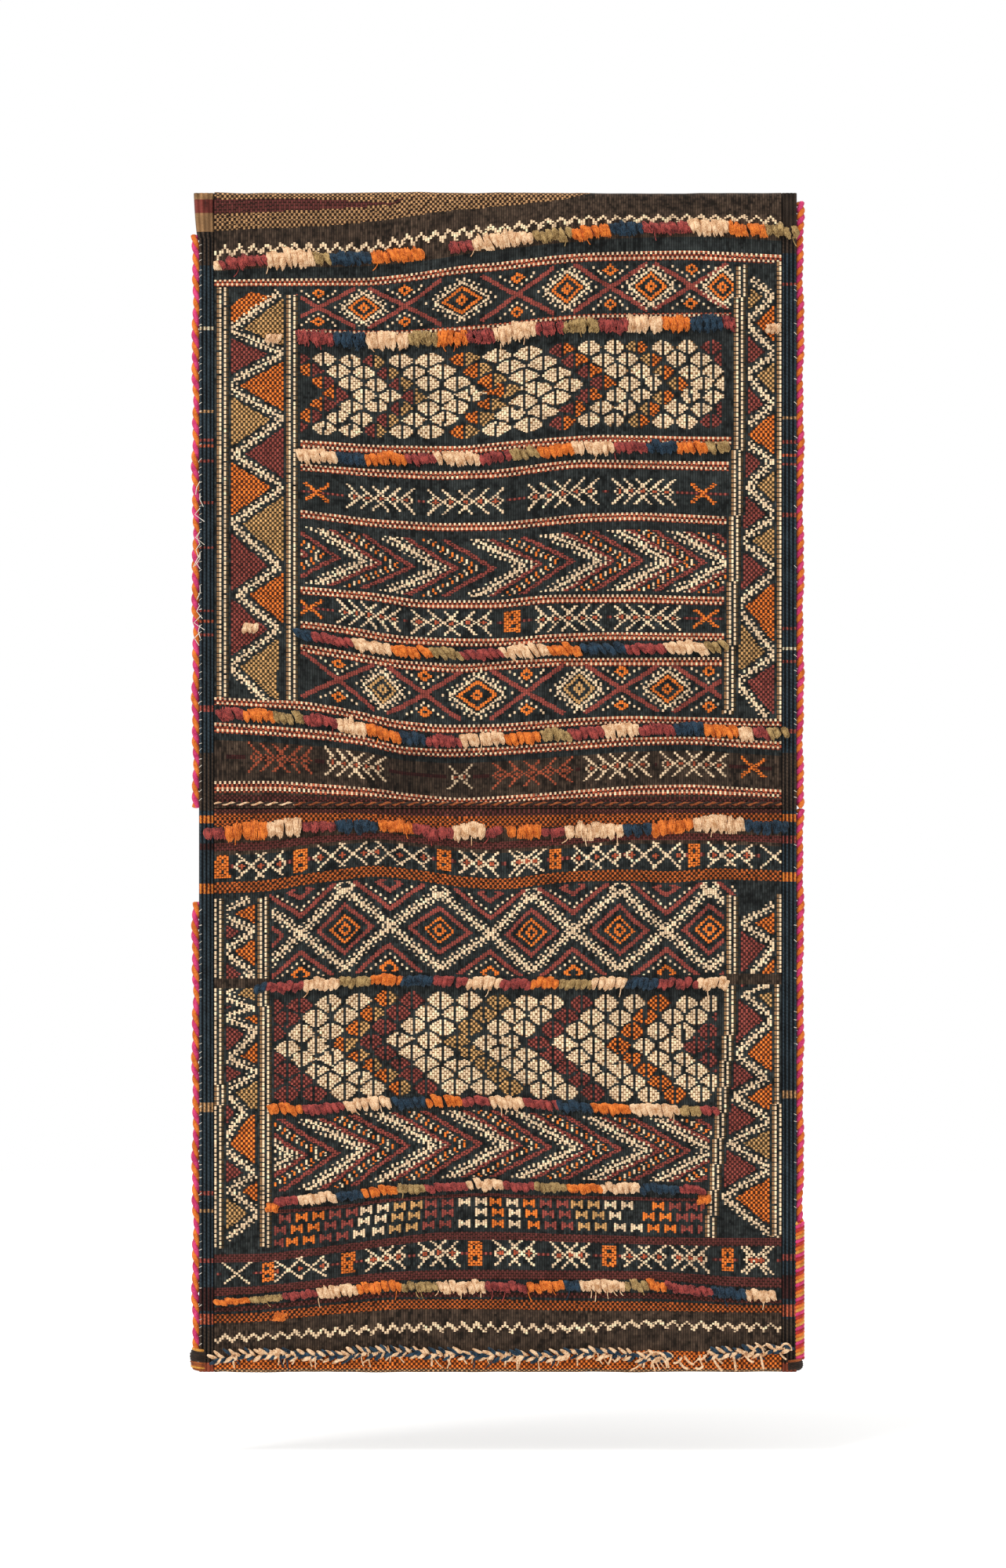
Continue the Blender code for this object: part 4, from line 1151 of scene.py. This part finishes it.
def makeTuftRow(number):
    course = (upperLines if number < 6 else lowerLines)["tufts" + str(number)][1]
    strands = []
    for word in tuftRows[number].split():
        yarn = yarnLetters[word[0]]
        block, *full = word[1:].split("*")
        start, end = [float(part) for part in block.split("-")]
        count = max(1, round((end - start) / pile["rows"][number][0]))
        for k in range(count):
            column = start + (k + 0.5) * (end - start) / count + random.normal() * 0.9
            row = float(smoothLine(course, np.array([column]))[0]) + random.normal() * 1.2
            rounding = 1 - 0.25 * (abs(2 * (k + 0.5) / count - 1) ** 3)
            fullness = rounding * float(full[0] if full else 1)
            strands += lockOfThreads(column, row, yarn, pile["rows"][number], fullness)
    for column, row in pile["extras"].get(number, ()):
        strands += strayTuft(column, row, "orange", 5)
    return strands


def addTuftPiece(name, strands):
    piece = layYarns(name + "_pile", strands, pile["radius"], pile["yarns"], 1)
    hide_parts(name)
    return piece


for number in range(1, 11):
    strands = makeTuftRow(number)
    name = "tuft_row_" + str(number)
    half = "upper" if number < 6 else "lower"
    if number in (5, 6):
        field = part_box(half + "_field")
        middleOf = [s[0][:, 0].mean() for s in strands]
        for part, low, high in (("_left", -1, field[0].x), ("_middle", field[0].x, field[1].x),
                                ("_right", field[1].x, 1)):
            piece = addTuftPiece(name + part, [s for s, m in zip(strands, middleOf) if low <= m < high])
            if part == "_middle":
                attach(piece, half + "_face")
            else:
                sideBlend(piece)
    else:
        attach(addTuftPiece(name, strands), half + ("_pouch" if number in (1, 10) else "_face"))

# Three stray tufts of cream wool on the side strips
for side, spots in ((-1, [(350, 434), (320, 802)]), (1, [(985, 421)])):
    strands = []
    for column, row in spots:
        strands += strayTuft(column, row, "cream", 6)
    name = "stray_tufts_" + ("left" if side < 0 else "right")
    piece = layYarns(name, strands, pile["radius"], pile["yarns"])
    sideBlend(piece)
print("pile knotted")


def twistedPlies(path, thickness, offset, pitch, tints):
    # plies wound round a path, each once every pitch
    path = np.array(path)
    along = np.concatenate([[0], np.cumsum(np.linalg.norm(np.diff(path, axis=0), axis=1))])
    ahead = np.gradient(path, axis=0)
    ahead /= np.linalg.norm(ahead, axis=1)[:, None]
    front = np.cross(ahead, np.cross(ahead, np.array([0.0, 1.0, 0.0])))
    outward = np.cross(ahead, front)
    strands = []
    for k, tint in enumerate(tints):
        turn = 2 * math.pi * (along / pitch + k / len(tints))
        shift = np.cos(turn)[:, None] * outward + np.sin(turn)[:, None] * front
        strands.append((path + offset * shift, np.full(len(path), thickness), tint))
    return strands


# Edging cord of orange and pink wool, with the white thread that sews it on
cord = {
    "radius": 0.0027,
    "offset": 0.0017,
    "step": 0.0016,
    "inset": 0.0018,
    "pitches": {"left": 0.0215, "right": 0.0141},
    "stitchPitch": 0.0077,
    "stitchRadius": 0.00034,
    "stitched": {"left": 0.85, "right": 0.35},
    "overrun": 0.0025,
    "sways": [(0.0006, 55, 1), (0.0005, 140, 0)],  # width, pace and start of each slow bend
    "fray": {"count": 14, "rows": (615, 825)},  # white threads that hang loose at the upper left
}


def makeCord(half, side):
    name = half + "_" + side + "_cord"
    low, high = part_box(name)
    sign = -1 if side == "left" else 1
    top = high.z + (cord["overrun"] if half == "lower" and side == "right" else -0.001)
    bottom = low.z - (cord["overrun"] if half == "upper" else 0)
    z = np.linspace(top, bottom, int((top - bottom) / cord["step"]))
    x = (low.x + high.x) / 2 - sign * cord["inset"]
    for width, pace, start in cord["sways"]:
        x = x + width * np.sin(z * pace + sign * start)
    middleY = (low.y + high.y) / 2
    path = np.column_stack([x, np.full(len(z), middleY), z])
    plies = twistedPlies(path, 1.0, cord["offset"], cord["pitches"][side] * -sign, (0, 1))
    piece = layYarns(name + "_plies", plies, cord["radius"], ["cordOrange", "pink"], 1)
    stitches = []
    inner = x.mean() - sign * 0.0056
    for place in np.arange(low.z + 0.006, high.z - 0.004, cord["stitchPitch"]):
        if random.uniform() > cord["stitched"][side]:
            continue
        start = place + random.normal() * 0.0009
        slant = random.uniform(0.0002, 0.0012)
        points = np.array([(inner, frontY - 0.0006, start + slant),
                           (inner + sign * 0.0012, frontY - 0.0012, start),
                           (inner + sign * 0.0026, middleY - 0.0046, start - slant)])
        stitches.append((points, random.uniform(0.6, 1.1), 0))
    if half == "upper" and side == "left":
        for k in range(cord["fray"]["count"]):
            start = toZ(random.uniform(*cord["fray"]["rows"]))
            points = np.array([(x.mean() + 0.004, frontY - 0.0008, start),
                               (x.mean() + random.uniform(-0.002, 0.006), frontY - 0.002, start - 0.006),
                               (x.mean() + random.uniform(-0.004, 0.009), frontY - 0.001, start - 0.013)])
            stitches.append((points, 1.2, 0))
    thread = layYarns(name + "_stitches", stitches, cord["stitchRadius"], ["white"])
    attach(piece, half + "_pouch")
    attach(thread, half + "_pouch")
    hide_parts(name)


for half in ("upper", "lower"):
    for side in ("left", "right"):
        makeCord(half, side)
print("cords sewn on")

# Selvedge: three thick warps wrapped in dark blue wool, crossed by short stripes of the bag's other yarns
selvedge = {
    "thread": 0.0014,
    "around": 48,
    "swell": 0.0021,
    "ribs": 4,
    "wrap": 0.0036,
    "flare": 0.0052,
    "cordStart": 306.0,
    "overrun": 0.0027,
    "endStripes": (297, 1738),
    "left": {
        "tan": [(240, 256), (274, 297), (524, 528), (1405, 1417), (1541, 1545)],
        "wine": [(256, 274), (561, 564), (587, 591), (640, 644), (698, 701), (778, 781), (809, 812),
                 (900, 908), (1518, 1523), (1604, 1609)],
        "brown": [(297, 340), (960, 1034), (1690, 1736)],
        "rust": [(568, 572), (791, 795), (1674, 1688), (1736, 1760)],
        "orange": [(1040, 1050), (1127, 1140)],
        "plum": [(1076, 1084), (1640, 1670)],
        "cream": [(418, 423)],
    },
    "right": {
        "tan": [(532, 536), (1390, 1400)],
        "wine": [(362, 366), (563, 567), (592, 595), (655, 660), (800, 804), (842, 846), (930, 936),
                 (1066, 1076), (1598, 1606)],
        "brown": [(240, 325), (960, 1034), (1680, 1736)],
        "rust": [(580, 584), (1662, 1678), (1736, 1760)],
        "orange": [(1038, 1048), (1112, 1124)],
        "plum": [(1625, 1655)],
        "cream": [(826, 830)],
    },
}


def makeSelvedge(half, side):
    name = half + "_" + side + "_selvedge"
    low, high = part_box(name)
    # the two halves meet at the saddle, where the real edge runs on unbroken
    low.z -= selvedge["overrun"] if half == "upper" else 0
    high.z += selvedge["overrun"] if half == "lower" else 0
    down = round((high.z - low.z) / selvedge["thread"]) * 2
    around = selvedge["around"]
    mesh, column, line = gridMesh(name, around, down)
    # a flattened round, down the front and up the back, fuller where a wrapped warp lies
    flatX = 2 * np.abs(1 - 2 * column / around) - 1
    flatY = np.where(column < around / 2, 1, -1) * (1 - flatX ** 4) ** 0.25
    swell = np.abs(np.sin((flatX + 1) / 2 * math.pi * selvedge["ribs"]))
    thread = np.where(line % 2 == 0, 0.00025, 0.0)
    z = high.z - (high.z - low.z) * line / down
    x = (low.x + high.x) / 2 + ((high.x - low.x) / 2 + 0.0005) * flatX
    if side == "left":
        # above the cord the cloth runs a little farther out, and tapers down to the cord's end
        above = (selvedge["cordStart"] - toRow(z)) / (selvedge["cordStart"] - bag["topRow"])
        x -= selvedge["flare"] * np.clip(above, 0, 1) ** 0.4 * (1 - flatX) / 2
    y = -foldRadius - flatY * (foldRadius - 0.0018 + selvedge["swell"] * swell + thread)
    placeMesh(mesh, x, y, z)
    rows = toRow(high.z - (np.arange(down) + 0.5) * (high.z - low.z) / down)
    dye = np.full((down, around), dyeNames.index("slate"))
    for yarn, spans in selvedge[side].items():
        for span in spans:
            dye[between(rows, *span)] = dyeNames.index(yarn)
    # painted shade in the grooves between the wrapped warps and a painted highlight on each crest
    across = np.abs(1 - 2 * (np.arange(around) + 0.5) / around) * selvedge["ribs"]
    rib = np.sin(across * math.pi) ** 4
    # a painted highlight along the wrapping thread, which climbs a little across each warp
    wrap = 0.5 + 0.5 * np.sin(2 * math.pi * (toZ(rows)[:, None] / selvedge["wrap"] + across[None, :] * 0.45))
    shade = 0.10 + rib[None, :] * (1.2 + 1.0 * wrap) + random.normal(size=(down, around)) * 0.22
    # the painted rib shade and highlight are evened out where the cloth's end stripes run out to the edge
    ends = (rows < selvedge["endStripes"][0]) | (rows > selvedge["endStripes"][1])
    shade[ends] = 0.8 + 0.15 * (shade[ends] - 0.8)
    shade = np.clip(shade + softNoise(down, around, 14, 6) * 0.22, 0.08, 2.4)
    colours = np.clip(dyeColours[dye] * shade[:, :, None], 0, 1)
    dressMesh(mesh, column, line, colours, np.full((down, around), 0.8))
    shape = bmesh.new()
    shape.from_mesh(mesh)
    bmesh.ops.remove_doubles(shape, verts=shape.verts, dist=0.00002)
    bmesh.ops.holes_fill(shape, edges=shape.edges, sides=0)
    bmesh.ops.recalc_face_normals(shape, faces=shape.faces)
    shape.to_mesh(mesh)
    shape.free()
    piece = addPiece(name + "_wraps", mesh, [wrappedWool])
    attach(piece, half + "_pouch")
    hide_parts(name)


for half in ("upper", "lower"):
    for side in ("left", "right"):
        makeSelvedge(half, side)
print("selvedges wrapped")

# Whipping of the lower right corner: four yarns side by side, wound round the edge
whipping = {"radius": 0.0019, "turnPitch": 0.0142, "step": 0.0009, "core": 3.0,
            "yarns": ["cordOrange", "yellow", "pink", "red"]}
low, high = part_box("lower_right_whipping")
z = np.linspace(high.z, low.z, int((high.z - low.z) / whipping["step"]))
path = np.column_stack([np.full(len(z), (low.x + high.x) / 2), np.full(len(z), (low.y + high.y) / 2), z])
offset = (high.x - low.x) / 2 - whipping["radius"]
strands = twistedPlies(path, 1.0, offset, -whipping["turnPitch"], (0, 1, 2, 3))
strands.append((path[::12], whipping["core"], 0))
whipped = layYarns("lower_right_whipping_yarns", strands, whipping["radius"], whipping["yarns"], 1)
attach(whipped, "lower_pouch")
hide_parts("lower_right_whipping")

# Twining of cream and brown along the upper lip
twining = {"radius": 0.0012, "offset": 0.0010, "pitch": 0.0138, "step": 0.0016}
for side in ("left", "middle", "right"):
    name = "upper_lip_twining_" + side
    low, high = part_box(name)
    x = np.linspace(low.x, high.x, int((high.x - low.x) / twining["step"]))
    path = np.column_stack([x, np.full(len(x), (low.y + high.y) / 2), np.full(len(x), (low.z + high.z) / 2)])
    turn = 2 * math.pi * x / twining["pitch"]
    strands = []
    for k, tint in enumerate((0, 1) if side == "left" else (2, 1)):
        winding = np.column_stack([0 * x, -np.cos(turn + k * math.pi), np.sin(turn + k * math.pi)])
        strands.append((path + winding * twining["offset"], random.uniform(0.6, 1.1, len(x)), tint))
    piece = layYarns(name + "_plies", strands, twining["radius"], ["cream", "darkBrown", "rust"], 1)
    if side == "middle":
        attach(piece, "upper_face")
    else:
        sideBlend(piece)
    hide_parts(name)

# Plait of thick cream and navy yarn along the lower hem, with its hanging ends and loops
plait = {
    "radius": 0.0018,
    "pitch": 6.2,
    "half": 7.0,
    "course": [(271, 1732), (312, 1725), (422, 1728), (477, 1722), (586, 1725), (694, 1729), (747, 1722),
               (827, 1729), (881, 1727), (999, 1718)],
    "span": (274, 1000),
    "wornSpan": (852, 905),
    "ends": 100,
    "endSpan": (285, 1000),
    "loops": [(836, 1742, 16, 20), (840, 1742, 10, 13), (966, 1726, 7, 12), (1001, 1720, 7, 9)],
    # loose thick threads of the worn end: start and end of each
    "worn": [(858, 1736, 869, 1729), (866, 1735, 877, 1743), (872, 1727, 884, 1738), (886, 1742, 896, 1740),
             (889, 1731, 900, 1726), (905, 1723, 920, 1746), (935, 1727, 938, 1746), (968, 1720, 973, 1744),
             (913, 1730, 926, 1727), (948, 1724, 960, 1735)],
    "fan": [(824, 1725, 835 + 6 * k, 1747 - 2 * k) for k in range(4)],
}


def makePlait():
    strands = []
    steps = np.linspace(0, 1, 5)
    columns = np.arange(*plait["span"], plait["pitch"])
    rows = smoothLine(plait["course"], columns) + random.normal(size=len(columns)) * 0.8
    for k, (column, row) in enumerate(zip(columns, rows)):
        if plait["wornSpan"][0] < column < plait["wornSpan"][1]:
            continue
        for side in (-1, 1):
            span = plait["half"] * random.uniform(0.5, 1.3)
            line = column - 6 + random.normal() * 1.2 + (12 + random.normal() * 2.5) * steps
            out = 0.0020 + 0.0026 * np.sin(steps * math.pi)
            thickness = np.array([0.6, 1.0, 1.1, 1.0, 0.6]) * random.uniform(0.7, 1.15)
            tint = 0 if random.uniform() < 0.08 else (k + (side > 0)) % 2
            strands.append((placed(line, out, row + side * span * (1 - steps)), thickness, tint))
    for k in range(plait["ends"]):
        column = random.uniform(*plait["endSpan"])
        row = float(smoothLine(plait["course"], np.array([column]))[0])
        bend = random.normal() * 6
        fall = random.uniform(5, 19) if k % 4 else -random.uniform(3, 8)
        points = placed(column + bend * steps ** 2, 0.005 - 0.003 * steps, row + fall * steps)
        strands.append((points, random.uniform(0.25, 0.6), 0 if random.uniform() < 0.75 else 1))
    for threads, thickness, arch in ((plait["worn"], 0.65, 2.5), (plait["fan"], 0.4, -5)):
        for x0, row0, x1, row1 in threads:
            bow = np.sin(steps * math.pi) * arch
            points = placed(x0 + (x1 - x0) * steps, 0.0035 + 0.001 * np.sin(steps * math.pi),
                            row0 + (row1 - row0) * steps + bow)
            strands.append((points, thickness, 0))
    around = np.linspace(0, math.pi, 9)
    for column, row, wide, tall in plait["loops"]:
        out = 0.004 + 0.002 * np.sin(around)
        points = placed(column - wide * np.cos(around), out, row - tall * np.sin(around))
        strands.append((points, 0.6, 0))
    piece = layYarns("hem_braid_yarns", strands, plait["radius"], ["cream", "navy"], 1)
    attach(piece, "lower_pouch")
    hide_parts("hem_braid")


makePlait()

# Knots of the lower corners: how far each is seated in from the edge, and the height and yarn of its ties
knots = {
    "yarn": 0.0011,
    "turns": 18,
    "yarns": ["darkBrown", "rust", "yellow"],
    "left_corner_knot": {"radius": 0.0058, "inward": 1, "seat": 0.0025,
                         "ties": [(-0.0125, 1), (-0.0104, 2), (-0.0084, 1), (-0.0060, 1), (-0.0036, 0),
                                  (-0.0010, 0), (0.0016, 0), (0.0042, 0), (0.0066, 2)]},
    "right_corner_tassel": {"radius": 0.0060, "inward": -1, "seat": 0.0,
                            "ties": [(-0.0030, 0), (-0.0006, 0), (0.0018, 0), (0.0044, 1)]},
}


def makeKnot(name, look):
    # a wound ball of dark yarn with ties laid over the corner
    radius = look["radius"]
    inward = look["inward"]
    low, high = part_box(name)
    centre = np.array([(a + b) / 2 for a, b in zip(low, high)])
    centre[0] += inward * look["seat"]
    polar = np.linspace(0.02, 0.98, 150) * math.pi
    turn = polar * knots["turns"]
    ball = np.column_stack([np.sin(polar) * np.cos(turn), np.sin(polar) * np.sin(turn), np.cos(polar)])
    core = np.array([centre + (0, 0, share * radius) for share in (-0.5, 0, 0.5)])
    strands = [(centre + ball * (radius - knots["yarn"]), 1.0, 0), (core, [2.0, 3.4, 2.0], 0)]
    arch = np.linspace(-0.1, 1.0, 9) * math.pi
    for lift, tint in look["ties"]:
        # the ties are widest at the middle of the knot, so that its outline is round
        reach = 0.0086 * (1 - (abs(lift + 0.003) / 0.0125) ** 3) ** 0.5 * random.uniform(0.88, 1.0)
        tie = np.column_stack([centre[0] + inward * (0.0037 - reach * np.cos(arch)),
                               centre[1] - 0.0090 * np.sin(arch), centre[2] + lift + 0.0010 * np.cos(arch)])
        strands.append((tie, random.uniform(0.9, 1.3), tint))
    piece = layYarns(name + "_wound", strands, knots["yarn"], knots["yarns"], 1)
    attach(piece, "lower_pouch")
    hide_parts(name)


for name in ("left_corner_knot", "right_corner_tassel"):
    makeKnot(name, knots[name])
print("trim made")

# Studio: pale floor below the hanging bag, even soft light and a long lens straight in front
studio = {
    "floorZ": -1.20,
    "floorHalf": 4.0,
    "floor": "fdfdfc",
    "frameHeight": 2000 * bag["square"],
    "aim": (641.5, 1000),  # the column and row in the middle of the frame
    "distance": 5.5,
    "filmWidth": 36.0,
    "world": 0.82,
    "lamps": {"key": ((-1.5, -1.9, 3.2), (0, 0, -0.55), 1.6, 92.0),
              "floorLamp": ((0.0, 2.6, 1.8), (0, 2.4, -1.2), 3.0, 60.0)},
}


def makeStudio():
    world = bpy.data.worlds.new("paleRoom")
    bpy.context.scene.world = world
    world.use_nodes = True
    tree = world.node_tree
    tree.nodes.clear()
    path = addNode(tree, "LightPath")
    seen = addNode(tree, "Math", {0: path.outputs["Is Camera Ray"], 1: path.outputs["Is Glossy Ray"]},
                   operation="MAXIMUM")
    plain = addNode(tree, "Math", {0: seen.outputs[0], 1: path.outputs["Is Transmission Ray"]},
                    operation="MAXIMUM")
    strength = addNode(tree, "MapRange", {0: plain.outputs[0], 3: studio["world"], 4: 1.0})
    light = addNode(tree, "Background", {0: (1, 1, 1, 1), 1: strength.outputs[0]})
    addNode(tree, "OutputWorld", {0: light.outputs[0]})
    mesh, column, line = gridMesh("floor", 1, 1)
    half = studio["floorHalf"]
    placeMesh(mesh, half * (2 * column - 1), half * (1 - 2 * line), np.full(len(line), studio["floorZ"]))
    paper, tree = newMaterial("whitePaper")
    surface = addNode(tree, "BsdfPrincipled", {"Base Color": linear(studio["floor"]) + [1], "Roughness": 0.9})
    addNode(tree, "OutputMaterial", {"Surface": surface.outputs[0]})
    addPiece("floor", mesh, [paper])
    for name, (place, target, size, power) in studio["lamps"].items():
        lamp = bpy.data.lights.new(name, "AREA")
        lamp.size = size
        lamp.energy = power
        lamp.use_shadow = name == "key"
        holder = bpy.data.objects.new(name, lamp)
        bpy.context.scene.collection.objects.link(holder)
        holder.location = place
        holder.rotation_euler = (Vector(target) - Vector(place)).to_track_quat("-Z", "Y").to_euler()
    lens = bpy.data.cameras.new("camera")
    lens.sensor_width = studio["filmWidth"]
    lens.lens = studio["filmWidth"] * studio["distance"] / studio["frameHeight"]
    camera = bpy.data.objects.new("camera", lens)
    bpy.context.scene.collection.objects.link(camera)
    camera.location = (toX(studio["aim"][0]), -studio["distance"], toZ(studio["aim"][1]))
    camera.rotation_euler = (math.pi / 2, 0, 0)
    bpy.context.scene.camera = camera
    bpy.context.scene.view_settings.view_transform = "Standard"


makeStudio()
print("studio set up")
